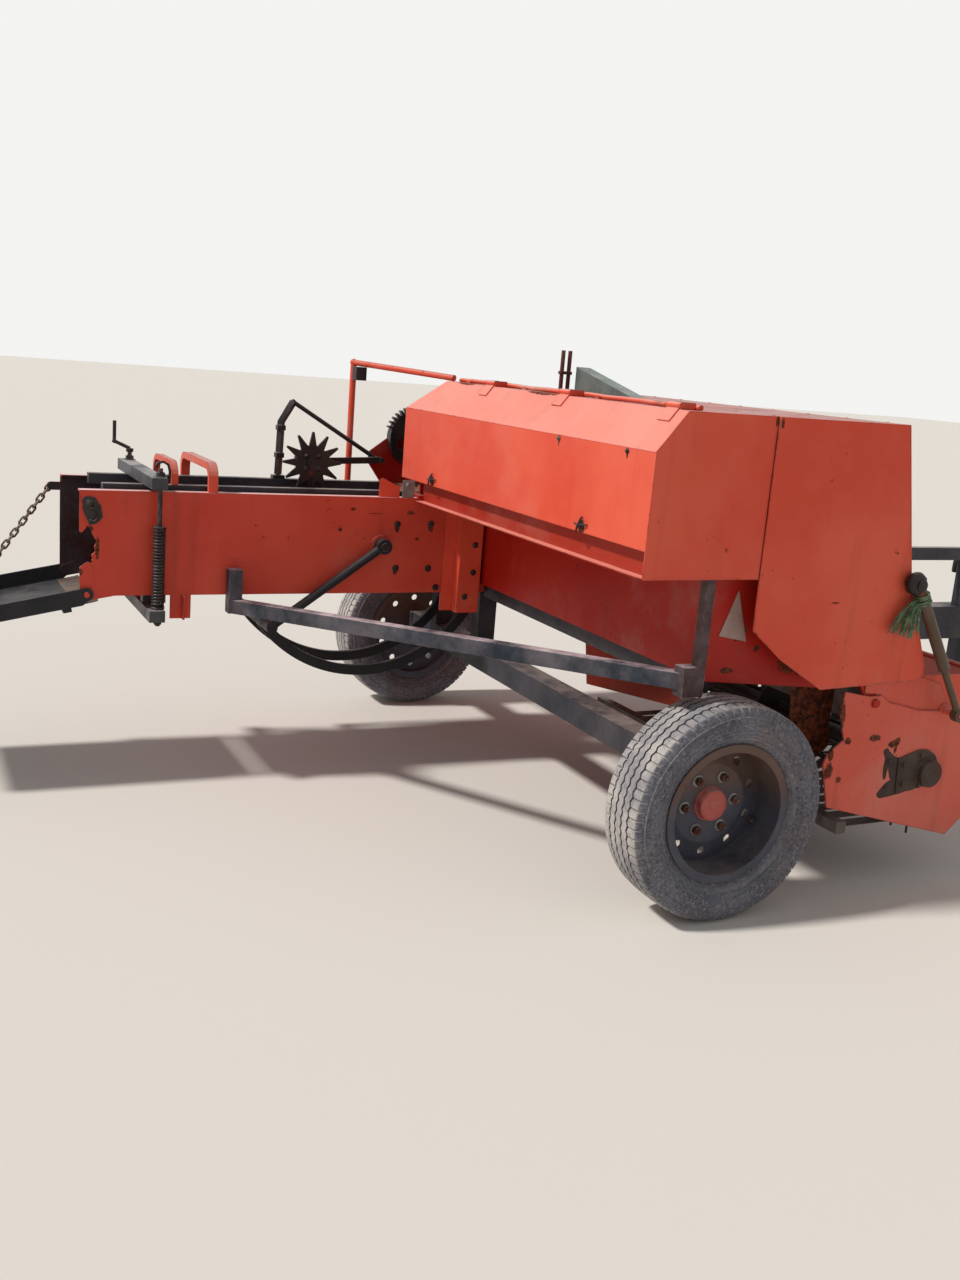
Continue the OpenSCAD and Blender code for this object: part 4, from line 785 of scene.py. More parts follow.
@dataclass
class Workshop:
    """Turns shaped faces into named pieces that ride on their bodies."""
    frame: dict
    datum: Datum

    def __post_init__(self) -> None:
        """Build every coat's material once."""
        self.materials = {coat: coat.make(self.datum.offset) for coat in Coat}

    def dress(self, node: str, coat: Coat) -> None:
        """Give one CAD node a finish in all its material slots.

        Args:
            node: The node's name.
            coat: The finish.
        """
        thing = self.frame["nodes"][node]
        if not thing.material_slots:
            thing.data.materials.append(self.materials[coat])
        for slot in thing.material_slots:
            slot.material = self.materials[coat]

    def dress_all(self) -> None:
        """Give every CAD node the plain finish of its slot."""
        for part in self.frame["record"]["subparts"]:
            if part["node"] in self.frame["nodes"]:
                self.dress(part["node"], Coat.default(part["material_slot"]))

    def make(self, shape: Shaper) -> None:
        """Turn a shape into one piece of the visual model.

        Args:
            shape: The shape, which is used up.
        """
        bmesh.ops.translate(shape.mesh, verts=shape.mesh.verts, vec=self.datum.offset)
        bmesh.ops.recalc_face_normals(shape.mesh, faces=shape.mesh.faces)
        for face in shape.mesh.faces:
            face.smooth = True
        data = bpy.data.meshes.new(shape.name)
        shape.mesh.to_mesh(data)
        shape.mesh.free()
        data.set_sharp_from_angle(angle=math.radians(shape.smooth))
        data.materials.append(self.materials[shape.coat])
        made = placed(shape.name, data)
        if shape.bevel:
            modifier = made.modifiers.new("edge", "BEVEL")
            for key, value in (("width", shape.bevel), ("segments", 2), ("limit_method", "ANGLE"),
                               ("angle_limit", math.radians(40)), ("harden_normals", True)):
                setattr(modifier, key, value)
        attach(made, shape.body)
        shape.coat.slot
        if shape.replaces:
            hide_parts(shape.replaces)


@dataclass
class SubAssembly:
    """A part of the machine that dresses its own CAD nodes and adds its own pieces."""
    shapes: list[Shaper] = field(default_factory=list)
    coats: ClassVar[dict[str, Coat]] = {}

    def piece(self, name: str, coat: Coat, body: str = "frame", **looks: object) -> Shaper:
        """Start a piece; looks are the shaper's bevel, smooth and replaces."""
        self.shapes.append(Shaper(name, coat, body, **looks))
        return self.shapes[-1]

    def build(self) -> None:
        """Shape every piece of the sub-assembly."""
        raise NotImplementedError

    def finish(self, shop: Workshop) -> list[str]:
        """Dress the sub-assembly's CAD nodes, then shape and make its pieces.

        Args:
            shop: The workshop that does both.

        Returns:
            The names of the pieces, in the order they are made.
        """
        for node, coat in self.coats.items():
            shop.dress(node, coat)
        self.build()
        for shape in self.shapes:
            shop.make(shape)
        return [shape.name for shape in self.shapes]


@dataclass(frozen=True)
class TyreSizes:
    """Section and tread of a road tyre, in metres."""
    outer: float = 0.345
    half_width: float = 0.100
    bead: float = 0.2013
    bead_half: float = 0.0687
    crown_half: float = 0.080
    crown_drop: float = 0.004
    grooves: tuple[float, ...] = (-0.047, -0.016, 0.016, 0.047)
    groove_width: float = 0.0075
    groove_depth: float = 0.008
    zigzag: float = 0.0032
    pitches: int = 72
    sipe_rows: tuple[Flat, ...] = ((0.0, 0.0), (0.42, 0.0), (0.45, 1.0), (0.57, 1.0), (0.60, 0.0))
    sipe_depth: float = 0.0065


@dataclass
class RunningGear(SubAssembly):
    """Both tyres with their tread, the hub caps, wheel nuts, washers and valves."""
    coats: ClassVar[dict[str, Coat]] = {
        "axle": Coat.DARK, "right_rim": Coat.RIM, "left_rim": Coat.RIM}
    tyre: TyreSizes = TyreSizes()
    wheel_ys: Flat = (0.072, 2.525)
    wheel_z: float = 0.345
    disc_in: float = 0.026
    nut_circle: float = 0.092
    nut_turn: float = 4.0
    nut_corner: float = 0.0142
    nut_height: float = 0.0158
    nut_stud: float = 0.009
    valve_circle: float = 0.186

    def _columns(self, fraction: float, sipe: float) -> list[Flat]:
        """Give the section at one angle as (radius, y) pairs, from one bead round to the other.

        Args:
            fraction: Place within one pitch of the tread, 0 to 1.
            sipe: 1 inside a shoulder slot, 0 elsewhere.

        Returns:
            The closed section.
        """
        t = self.tyre
        shift = t.zigzag * (4 * abs(fraction - 0.5) - 1)
        wall = [(t.bead, t.bead_half), (0.224, t.bead_half), (0.231, 0.074), (0.2345, 0.0775), (0.2365, 0.0765),
                (0.2440, 0.0855), (0.2455, 0.0880), (0.2470, 0.0872), (0.2550, 0.0928), (0.2565, 0.0950),
                (0.2580, 0.0938), (0.268, 0.0976), (0.2695, 0.0992), (0.2710, 0.0978), (0.280, t.half_width),
                (0.294, 0.0988), (0.306, 0.0962), (0.308, 0.0975), (0.3115, 0.0968), (0.3130, 0.0950),
                (0.322, 0.0930), (0.330, 0.0900), (0.3365, 0.0862), (0.3405, t.crown_half)]
        cut = sipe * t.sipe_depth
        wall = wall[:-3] + [(r - cut * share, y - cut * 0.4 * share)
                            for (r, y), share in zip(wall[-3:], (0.35, 0.8, 1.0))]
        crown = []
        for centre in t.grooves:
            for edge, depth in ((-0.5, 0.0), (-0.38, 1.0), (0.38, 1.0), (0.5, 0.0)):
                y = centre + shift + edge * t.groove_width
                radius = t.outer - t.crown_drop * (y / t.crown_half) ** 2 - depth * t.groove_depth
                outside = abs(centre) > 0.04 and depth == 0.0 and edge * centre > 0
                crown.append((radius - (cut if outside else 0.0), y))
        return [(r, -y) for r, y in wall] + crown + list(reversed(wall))

    def _tyre(self, side: str, centre: Vector) -> None:
        """Turn one tyre with zig-zag grooves and slotted shoulders.

        Args:
            side: right or left.
            centre: The wheel's middle.
        """
        shape = self.piece(f"{side}_tread_tyre", Coat.RUBBER, f"{side}_wheel", smooth=32, replaces=f"{side}_tyre")
        rings = []
        for pitch in range(self.tyre.pitches):
            for fraction, sipe in self.tyre.sipe_rows:
                angle = 2 * math.pi * (pitch + fraction) / self.tyre.pitches
                rings.append([centre + Vector((r * math.cos(angle), y, r * math.sin(angle)))
                              for r, y in self._columns(fraction, sipe)])
        shape.rings(rings, closed=True)

    def _hub(self, side: str, centre: Vector, out: float) -> None:
        """Add the hub cap, the nuts with their washers and the valve of one wheel.

        Args:
            side: right or left.
            centre: The wheel's middle.
            out: -1 where the wheel faces right, 1 where it faces left.
        """
        body = f"{side}_wheel"
        face = Vector((0.0, out, 0.0))
        disc = centre - face * self.disc_in
        cap = self.piece(f"{side}_hub_cap", Coat.CAP, body, smooth=35)
        cap.lathe(disc, face,
                  [(-0.001, 0.0555), (0.003, 0.0555), (0.0045, 0.0545), (0.0055, 0.0500), (0.0220, 0.0495),
                   (0.0252, 0.0482), (0.0264, 0.0460), (0.0262, 0.0438), (0.0252, 0.0430), (0.0253, 0.0150),
                   (0.0272, 0.0130), (0.0276, 0.0040)], 40)
        nuts = self.piece(f"{side}_wheel_nuts", Coat.RUSTED, body, smooth=30)
        washers = self.piece(f"{side}_nut_washers", Coat.ZINC, body, smooth=30)
        for k in range(6):
            across, down = polar(60 * k + self.nut_turn, 1.0)
            spot = disc + Vector((across, 0, -out * down)) * self.nut_circle
            washers.lathe(spot, face, [(-0.0005, 0.0200), (0.0018, 0.0200), (0.0026, 0.0186)], 24)
            nuts.bolt(spot + face * WASHER_TOP, face, self.nut_corner, self.nut_height, False, self.nut_stud)
        valve = centre + Vector((self.valve_circle * 0.92, 0.0, -self.valve_circle * 0.38)) - face * 0.045
        nuts.lathe(valve, face + Vector((-0.25, 0, 0.1)), [(0, 0.0055), (0.030, 0.0042), (0.038, 0.0046)], 12)

    def build(self) -> None:
        """Make both wheels' pieces."""
        for side, y, out in (("right", self.wheel_ys[0], -1.0), ("left", self.wheel_ys[1], 1.0)):
            centre = Vector((0.0, y, self.wheel_z))
            self._tyre(side, centre)
            self._hub(side, centre, out)


@dataclass
class DensityGear(SubAssembly):
    """Springs on their threaded rods, at the rear of the chamber."""
    coats: ClassVar[dict[str, Coat]] = {
        "density_beams": Coat.BEAM, "density_crank": Coat.OILY, "chute_chain": Coat.BARE,
        "bale_chute": Coat.BLUE, "tension_rails": Coat.DARK}
    rod_x: float = -1.370
    rod_ys: Flat = (1.655, 2.245)
    beam_low: float = 0.605
    beam_depth: float = 0.042
    beam_top: float = 1.127
    spring_len: float = 0.285
    turns: int = 24
    thread_r: float = 0.009
    thread_pitch: float = 0.0035

    def _thread(self, shape: Shaper, y: float, low: float, high: float) -> None:
        """Turn a threaded rod.

        Args:
            shape: The piece that it is added to.
            y: Where it stands.
            low: Its lower end.
            high: Its upper end.
        """
        pitch = self.thread_pitch
        radius = self.thread_r
        profile = [(0.0, radius * 0.9)]
        for k in range(int((high - low) / pitch)):
            profile += [(k * pitch + pitch * 0.3, radius), (k * pitch + pitch * 0.8, radius * 0.88)]
        profile.append((high - low, radius * 0.88))
        shape.lathe((self.rod_x, y, low), UP, profile, 14)

    def _hook(self) -> None:
        """Bend the small hook that hangs on the beam's right end."""
        bend = ((0.030, 1.126), (0.030, 1.150), (0.024, 1.172), (0.006, 1.182), (-0.014, 1.176), (-0.020, 1.160))
        shape = self.piece("beam_hook", Coat.OILY, smooth=50)
        shape.tube([(self.rod_x + x, self.rod_ys[0] - 0.012, z) for x, z in bend], 0.005, 10)

    def build(self) -> None:
        """Make both spring sets as one piece, and the hook."""
        shape = self.piece("wound_springs", Coat.OILY, smooth=45, replaces="density_springs")
        x, cup = self.rod_x, 0.008
        spring_low = self.beam_low + self.beam_depth + cup
        spring_high = spring_low + self.spring_len
        for y in self.rod_ys:
            shape.coil((x, y, spring_low + 0.003), 0.0188, 0.0049, self.spring_len - 0.006, self.turns)
            self._thread(shape, y, self.beam_low - 0.022, self.beam_low)
            self._thread(shape, y, spring_high + 0.006, self.beam_top + 0.030)
            shape.lathe((x, y, self.beam_low - 0.001), UP,
                        [(0.0, 0.0085), (spring_high - self.beam_low + 0.010, 0.0085)], 14)
            for low in (spring_low - cup, spring_high):
                shape.lathe((x, y, low), UP, [(0.0, 0.0225), (0.001, 0.024), (cup - 0.001, 0.024), (cup, 0.0225)], 28)
            shape.bolt((x, y, self.beam_low), DOWN, 0.0158, 0.014)
            shape.bolt((x, y, self.beam_top), UP, 0.0158, 0.014)
        self._hook()


@dataclass
class Hood(SubAssembly):
    """Hems, latches and fastenings of the lid, deck and end panels."""
    coats: ClassVar[dict[str, Coat]] = {
        "hood_lid": Coat.HOOD, "top_deck": Coat.DECK, "end_panel": Coat.PANEL, "lid_skirt": Coat.SKIRT,
        "deck_stand": Coat.STAND, "warning_plate": Coat.SIGN, "feeder_frame": Coat.DARK}
    lid_x: float = -0.365
    lid_bend_z: float = 1.412
    ridge_x: float = -0.270
    deck_z: float = 1.530
    face_y: float = 0.050
    lid_left_y: float = 1.850
    latch_ys: Flat = (1.545, 0.407)
    latch_z: float = 1.160
    bend_bolt_ys: Flat = (0.593, 0.194)
    hem_r: float = 0.0024
    rail_x: float = -0.215
    rail_r: float = 0.008
    strip_y: float = 1.370
    strip_len: float = 0.43

    def _latch(self, shape: Shaper, y: float) -> None:
        """Shape one small hooked catch on the lid's lower edge.

        Args:
            shape: The piece that it is added to.
            y: Its middle.
        """
        x, z = self.lid_x, self.latch_z
        plate = [(-0.017, -0.008), (-0.002, -0.014), (0.016, -0.010), (0.013, 0.006), (0.004, 0.014), (-0.010, 0.008)]
        bar = ((-0.004, -0.036, 0.002), (-0.010, -0.018, 0.001), (-0.011, 0.006, -0.004), (-0.007, 0.034, -0.001))
        hook = ((-0.004, -0.003, 0.024), (-0.013, -0.004, 0.008), (-0.015, 0.004, -0.012), (-0.010, 0.014, -0.024),
                (-0.004, 0.024, -0.022))
        shape.prism(moved((y, z), plate), x - 0.0045, 0.005, Axis.X)
        for path, radius in ((bar, 0.0030), (hook, 0.0032)):
            shape.tube([(x + a, y + b, z + c) for a, b, c in path], radius, 8)

    def _lid(self) -> None:
        """Latches, hems and bolts that ride on the lid."""
        hem = self.piece("lid_hem", Coat.HOOD, "hood_lid", smooth=60)
        front = 0.038
        outline = [(self.lid_x + 0.001, 1.057), (self.lid_x + 0.001, self.lid_bend_z), (self.ridge_x, 1.5285),
                   (front, 1.5285), (front, 1.057)]
        hem.tube([(x, self.face_y + 0.0008, z) for x, z in outline], self.hem_r, 8, closed=True)
        hem.tube([(self.lid_x + 0.001, y, self.lid_bend_z) for y in (self.face_y + 0.002, self.lid_left_y - 0.002)],
                 self.hem_r * 0.7, 8)
        catches = self.piece("lid_catches", Coat.OILY, "hood_lid", bevel=0.0006)
        for y in self.latch_ys:
            self._latch(catches, y)
        bolts = self.piece("lid_bolts", Coat.OILY, "hood_lid", smooth=30)
        for y in self.bend_bolt_ys:
            bolts.bolt((self.lid_x, y, self.lid_bend_z - 0.010), REAR, 0.0058, 0.004)

    def _panels(self) -> None:
        """Hem of the fixed end panel and the deck's row of rivets."""
        hem = self.piece("end_panel_hem", Coat.PANEL, smooth=60)
        outline = [(0.047, 1.5285), (0.544, 1.5285), (0.643, 1.051), (0.756, 0.765), (0.756, 0.738),
                   (0.735, 0.7195), (0.335, 0.7085), (0.163, 0.809), (0.047, 0.902)]
        hem.tube([(x, self.face_y + 0.0008, z) for x, z in outline], self.hem_r, 8, closed=True)
        rivets = self.piece("deck_rivets", Coat.HOOD, smooth=60)
        for k in range(9):
            for x in (0.075, 0.515):
                rivets.lathe((x, 0.12 + k * 0.185, self.deck_z - 0.0004), UP,
                             [(0.0, 0.0075), (0.0018, 0.0068), (0.0030, 0.0040)], 12)
        rail = self.piece("deck_rail", Coat.DECK, smooth=50)
        x, z = self.rail_x, self.deck_z + self.rail_r
        rail.tube([(x, 0.074 + 0.1 * k, z + 0.0012 * math.sin(2.3 * k)) for k in range(17)], self.rail_r, 10)
        for y in (0.16, 0.62, 1.12, 1.58):
            rail.box((x - 0.012, y - 0.014, self.deck_z - 0.001), (x + 0.012, y + 0.014, self.deck_z + 0.006))
        strip = self.piece("deck_torn_strip", Coat.OILY, bevel=0.0012)
        edge = [(0.012, 0.0), (0.016, 0.09), (0.010, 0.17), (0.018, 0.26), (0.013, 0.36), (0.006, self.strip_len)]
        strip.prism(moved((x + 0.010, self.strip_y - self.strip_len), edge + [(-w * 0.2, d) for w, d in edge[::-1]]),
                    self.deck_z - 0.001, 0.012, Axis.Z)

    def build(self) -> None:
        """Make the hood's pieces."""
        self._lid()
        self._panels()


@dataclass
class Chamber(SubAssembly):
    """Bolts, brackets and small plates on the bale chamber."""
    coats: ClassVar[dict[str, Coat]] = {
        "chamber_wall_right": Coat.CHAMBER_RIGHT, "chamber_wall_left": Coat.CHAMBER_LEFT,
        "chamber_pillars": Coat.WORN, "chamber_arches": Coat.WORN, "side_brace": Coat.BRACE,
        "corner_post": Coat.WORN, "rear_lamp": Coat.OILY, "front_plate": Coat.WORN,
        "chamber_cover": Coat.WORN, "plunger": Coat.BARE}
    right_y: float = 1.700
    left_y: float = 2.200
    pillar_out: float = 0.060
    chute_droop: float = 11.0
    sheet: float = 0.003
    wall_bolts: tuple[Flat, ...] = (
        (-0.433, 0.963), (-0.289, 0.965), (-0.430, 0.787), (-0.289, 0.786), (-0.250, 0.708))
    front_bolts: tuple[Flat, ...] = (
        (0.75, 0.730), (1.05, 0.730), (1.30, 0.730), (0.75, 1.020), (1.05, 1.020), (1.30, 1.020))
    pillar_bolts: tuple[Flat, ...] = ((-0.115, 0.892), (-0.115, 0.780), (-0.145, 0.680))

    def _bolts(self) -> None:
        """Put the bolts on both walls, the pillars and the front plate."""
        bolts = self.piece("chamber_bolts", Coat.OILY, smooth=30)
        for places, out, across in ((self.wall_bolts + self.front_bolts, 0.0, 0.0095),
                                    (self.pillar_bolts, self.pillar_out, 0.0085)):
            for x, z in places:
                bolts.bolt((x, self.right_y - out, z), RIGHT, across, 0.006)
                bolts.bolt((x, self.left_y + out, z), LEFT, across, 0.006)
        for y in (self.right_y + 0.030, self.left_y - 0.030):
            for z in (0.718, 1.088):
                bolts.bolt((1.364, y, z), AHEAD, 0.0135, 0.010, True, 0.008)

    def _brackets(self) -> None:
        """Add the folded bracket and the zinc plate beside the cover."""
        y = self.right_y
        fold = self.piece("cover_bracket", Coat.WORN, bevel=0.0008)
        fold.prism([(-0.512, 1.064), (-0.426, 1.064), (-0.426, 1.108), (-0.498, 1.142), (-0.512, 1.136)],
                   y + 0.014, 0.004)
        zinc = self.piece("zinc_plate", Coat.ZINC, bevel=0.0006)
        zinc.box((-0.418, y + 0.004, 1.064), (-0.368, y + 0.008, 1.137))
        zinc.bolt((-0.397, y + 0.004, 1.118), RIGHT, 0.007, 0.005)

    def _wall_ends(self) -> None:
        """Square the walls' rear ends with thin sheets, torn on the right as the plate ahead of them is."""
        right = self.piece("right_wall_end", Coat.CHAMBER_RIGHT)
        upper = [(-1.6400, 1.0640), (-1.6405, 0.9900), (-1.6400, 0.9200), (-1.6320, 0.9160), (-1.6160, 0.9340),
                 (-1.6150, 0.9450)]
        lower = [(-1.6390, 0.7920), (-1.6280, 0.8000), (-1.6120, 0.8120), (-1.5920, 0.8060), (-1.5810, 0.7400),
                 (-1.5740, 0.7000), (-1.6350, 0.7000), (-1.6380, 0.7350)]
        for outline in (upper, lower):
            right.prism(outline, self.right_y + 0.0004, self.sheet)
        left = self.piece("left_wall_end", Coat.CHAMBER_LEFT)
        left.prism([(-1.6400, 1.0640), (-1.6405, 0.8800), (-1.6400, 0.7000), (-1.5740, 0.7000)],
                   self.left_y - 0.0004 - self.sheet, self.sheet)

    def _lip(self) -> None:
        """Add the lip at the front edge of the drooping chute."""
        lip = self.piece("chute_lip", Coat.BARE, "bale_chute")
        cos, sin = polar(self.chute_droop, 1.0)
        line = [(-0.044, -0.036), (-0.044, -0.032), (0.020, -0.031), (0.037, -0.029), (0.036, -0.033),
                (0.020, -0.035)]
        lip.prism([(-1.614 + u * cos - n * sin, 0.694 + u * sin + n * cos) for u, n in line],
                  self.right_y + 0.0060, self.left_y - self.right_y - 0.0120)

    def _pin_caps(self) -> None:
        """Cap both ends of the needle yoke's pin."""
        caps = self.piece("yoke_pin_caps", Coat.OILY, smooth=40)
        for side, y in ((-1, self.right_y), (1, self.left_y)):
            caps.lathe((-0.500, y + side * 0.057, 0.880), (0, side, 0),
                       [(-0.0010, 0.0176), (0.0022, 0.0176), (0.0036, 0.0160)], 28)

    def _shackle(self) -> None:
        """Add a dark plate that fills the hole at the wall's torn rear edge as painted shade, with its shackle."""
        y = self.right_y
        hole_shade = self.piece("rear_shackle", Coat.OILY, smooth=40)
        # The dark plate in the hole's outline is painted shade of the hole.
        hole_shade.prism([(-1.630, 1.036), (-1.612, 1.048), (-1.586, 1.042), (-1.566, 1.010), (-1.560, 0.972),
                     (-1.580, 0.950), (-1.606, 0.944), (-1.618, 0.970), (-1.630, 1.000)], y - 0.0025, 0.0035)
        loop = ((-1.606, 0.006, 0.962), (-1.590, 0.010, 0.958), (-1.578, 0.010, 0.972), (-1.580, 0.010, 0.994),
                (-1.592, 0.010, 1.006), (-1.606, 0.006, 1.004))
        hole_shade.tube([(x, y - out, z) for x, out, z in loop], 0.0045, 10)
        hole_shade.bolt((-1.604, y - 0.0025, 1.022), RIGHT, 0.010, 0.007)

    def build(self) -> None:
        """Make the chamber's pieces."""
        self._bolts()
        self._brackets()
        self._shackle()
        self._wall_ends()
        self._lip()
        self._pin_caps()


@dataclass
class FrontDrive(SubAssembly):
    """Cover screws of the gearbox, the flywheel's shear hub and the drawbar's fastenings."""
    coats: ClassVar[dict[str, Coat]] = {
        "gearbox": Coat.OILY, "flywheel": Coat.DARK, "drawbar": Coat.DARK, "guard_rail": Coat.DARK,
        "jack_leg": Coat.BLUE, "drawbar_carrier": Coat.WORN}
    drive_y: float = 1.950
    drive_z: float = 0.930
    box_x: float = 1.364
    bearing_x: float = 1.604
    fly_x: float = 1.809
    bar_y: float = 1.600
    cover_ring: float = 0.094
    hub_ring: float = 0.084
    jack_at: Flat = (2.750, 1.741)
    jack_collar: float = 0.0335

    def _gearbox(self) -> None:
        """Ring of cover screws, the filler plug and the box's seam."""
        shape = self.piece("gearbox_screws", Coat.OILY, smooth=30)
        for y, z in moved((self.drive_y, self.drive_z), [polar(45 * k + 22.5, self.cover_ring) for k in range(8)]):
            shape.bolt((self.bearing_x, y, z), AHEAD, 0.0085, 0.007)
        for side in (-1, 1):
            for x in (self.box_x + 0.090, self.box_x + 0.175):
                for z in (self.drive_z - 0.130, self.drive_z + 0.085):
                    shape.bolt((x, self.drive_y + side * 0.150, z), (0, side, 0), 0.009, 0.007)
        shape.bolt((self.box_x + 0.100, self.drive_y, self.drive_z + 0.144), UP, 0.022, 0.014)

    def _flywheel(self) -> None:
        """Bolts of the flywheel's hub."""
        shape = self.piece("flywheel_bolts", Coat.ZINC, "flywheel", smooth=30)
        for y, z in moved((self.drive_y, self.drive_z), [polar(60 * k + 30, self.hub_ring) for k in range(6)]):
            shape.bolt((self.fly_x - 0.024, y, z), AHEAD, 0.010, 0.009)

    def _carrier(self) -> None:
        """Nuts below and above the drawbar's pivot."""
        shape = self.piece("carrier_bolts", Coat.OILY, smooth=30)
        shape.bolt((1.400, self.bar_y, 0.424), DOWN, 0.030, 0.022)
        for x in (1.320, 1.425):
            for y in (self.bar_y - 0.045, self.bar_y + 0.045):
                shape.bolt((x, y, 0.434), DOWN, 0.011, 0.008)

    def _jack(self) -> None:
        """Knurled grip on the jack's handle and the rings of its tube."""
        x, y = self.jack_at
        shape = self.piece("jack_trim", Coat.OILY, "jack", bevel=0.0012)
        shape.lathe((x, y + 0.086, 0.738), UP,
                    [(0.0, 0.0140), (0.004, 0.0175), (0.020, 0.0185), (0.056, 0.0175), (0.064, 0.0150),
                     (0.068, 0.0135)], 20)
        half = self.jack_collar
        for z in (0.212, 0.846):
            shape.prism(moved((x, y), [(-half, -half), (half, -half), (half, half), (-half, half)]), z, 0.014, Axis.Z)

    def build(self) -> None:
        """Make the front's pieces."""
        self._gearbox()
        self._flywheel()
        self._carrier()
        self._jack()


@dataclass
class TwineBox(SubAssembly):
    """Hem, latch and screws of the twine box."""
    coats: ClassVar[dict[str, Coat]] = {"twine_box": Coat.PANEL, "twine_box_lid": Coat.HOOD}
    rear_x: float = -0.060
    front_x: float = 0.640
    out_y: float = 2.560
    low_z: float = 0.760
    top_z: float = 1.168
    seam_r: float = 0.0022

    def build(self) -> None:
        """Make the box's pieces."""
        latch = self.piece("twine_box_fasteners", Coat.OILY, bevel=0.0006, smooth=30)
        middle = (self.rear_x + self.front_x) / 2
        out, top = self.out_y, self.top_z
        for x in (middle - 0.20, middle + 0.20):
            latch.box((x - 0.020, out, top - 0.120), (x + 0.020, out + 0.004, top - 0.060))
            latch.bolt((x, out + 0.004, top - 0.105), LEFT, 0.007, 0.005)
        for x in (self.rear_x + 0.05, middle, self.front_x - 0.05):
            for z in (self.low_z + 0.045, top - 0.150):
                latch.bolt((x, out, z), LEFT, 0.0075, 0.005)
        seam = self.piece("twine_box_seams", Coat.PANEL, smooth=60)
        y = out + 0.0005
        for path in ([(self.rear_x - 0.0005, y, z) for z in (self.low_z + 0.003, top - 0.040)],
                     [(self.front_x + 0.0005, y, z) for z in (self.low_z + 0.003, top - 0.040)],
                     [(x, y, self.low_z + 0.002) for x in (self.rear_x + 0.003, self.front_x - 0.003)]):
            seam.tube(path, self.seam_r, 8)


@dataclass
class Knotters(SubAssembly):
    """The measuring wheel's spiked plate, its arm and the castings of the knotters."""
    coats: ClassVar[dict[str, Coat]] = {
        "star_wheel": Coat.OILY, "measuring_arm": Coat.OILY, "knotter_shaft": Coat.OILY,
        "knotter_frame": Coat.DEEP_RED}
    star_at: Flat = (-0.700, 1.165)
    star_ys: Flat = (1.9847, 1.9953)
    tip_r: float = 0.1225
    root_r: float = 0.0700
    spikes: int = 12
    arm_y: float = 2.110
    shaft_at: Flat = (-0.205, 1.270)
    casting_y: float = 1.752
    hub_ring: float = 0.036

    def _star(self) -> None:
        """Cut the broad spikes of the measuring wheel."""
        spike = ((-0.060, self.tip_r), (0.060, self.tip_r), (0.43, self.root_r), (0.57, self.root_r))
        outline = [polar(360 * (k + share) / self.spikes, radius)
                   for k in range(self.spikes) for share, radius in spike]
        shape = self.piece("star_plate", Coat.OILY, "star_wheel", bevel=0.0008)
        shape.prism(moved(self.star_at, outline), self.star_ys[0], self.star_ys[1] - self.star_ys[0])
        for x, z in moved(self.star_at, [polar(90 * k + 45, self.hub_ring) for k in range(4)]):
            shape.bolt((x, self.star_ys[0], z), RIGHT, 0.0065, 0.005)

    def _arm(self) -> None:
        """Sleeve the measuring arm's upright with its flat bar and clamps."""
        shape = self.piece("measuring_arm_bar", Coat.OILY, bevel=0.001)
        path = [(-0.803, self.arm_y, 1.102), (-0.798, self.arm_y, 1.313), (-0.751, self.arm_y, 1.395)]
        shape.tube(path, 0.0165, 4)
        for x, z in ((-0.801, 1.180), (-0.799, 1.290)):
            shape.box((x - 0.017, self.arm_y - 0.016, z - 0.010), (x + 0.017, self.arm_y + 0.016, z + 0.010))

    def _castings(self) -> None:
        """Shape the bearing casting, the cam and the knife arm beside the knotters' near end."""
        x, z = self.shaft_at
        bearing = [polar(degrees, 0.046) for degrees in range(-60, 170, 23)]
        foot = [(-0.100, 0.030), (-0.130, -0.030), (-0.122, -0.110), (-0.096, -0.150), (-0.074, -0.150),
                (-0.084, -0.100), (-0.060, -0.060), (-0.024, -0.048)]
        cam = [(-0.150, -0.020), (-0.134, 0.050), (-0.150, 0.094), (-0.132, 0.104), (-0.108, 0.060), (-0.112, 0.010),
               (-0.128, -0.040)]
        knife = ((-0.140, 1.780, -0.030), (-0.150, 1.774, -0.080), (-0.142, 1.768, -0.130), (-0.128, 1.764, -0.165))
        shape = self.piece("knotter_castings", Coat.RUSTED, bevel=0.001)
        shape.prism(moved((x, z), bearing + foot), self.casting_y, 0.016)
        shape.prism(moved((x, z), cam), self.casting_y + 0.024, 0.012)
        for a, b in ((-0.112, -0.020), (-0.108, -0.110), (-0.090, -0.132), (-0.070, 0.020)):
            shape.bolt((x + a, self.casting_y, z + b), RIGHT, 0.008, 0.007)
        shape.tube([(x + a, y, z + b) for a, y, b in knife], 0.006, 10)

    def build(self) -> None:
        """Make the knotters' and the measuring wheel's pieces."""
        self._star()
        self._arm()
        self._castings()


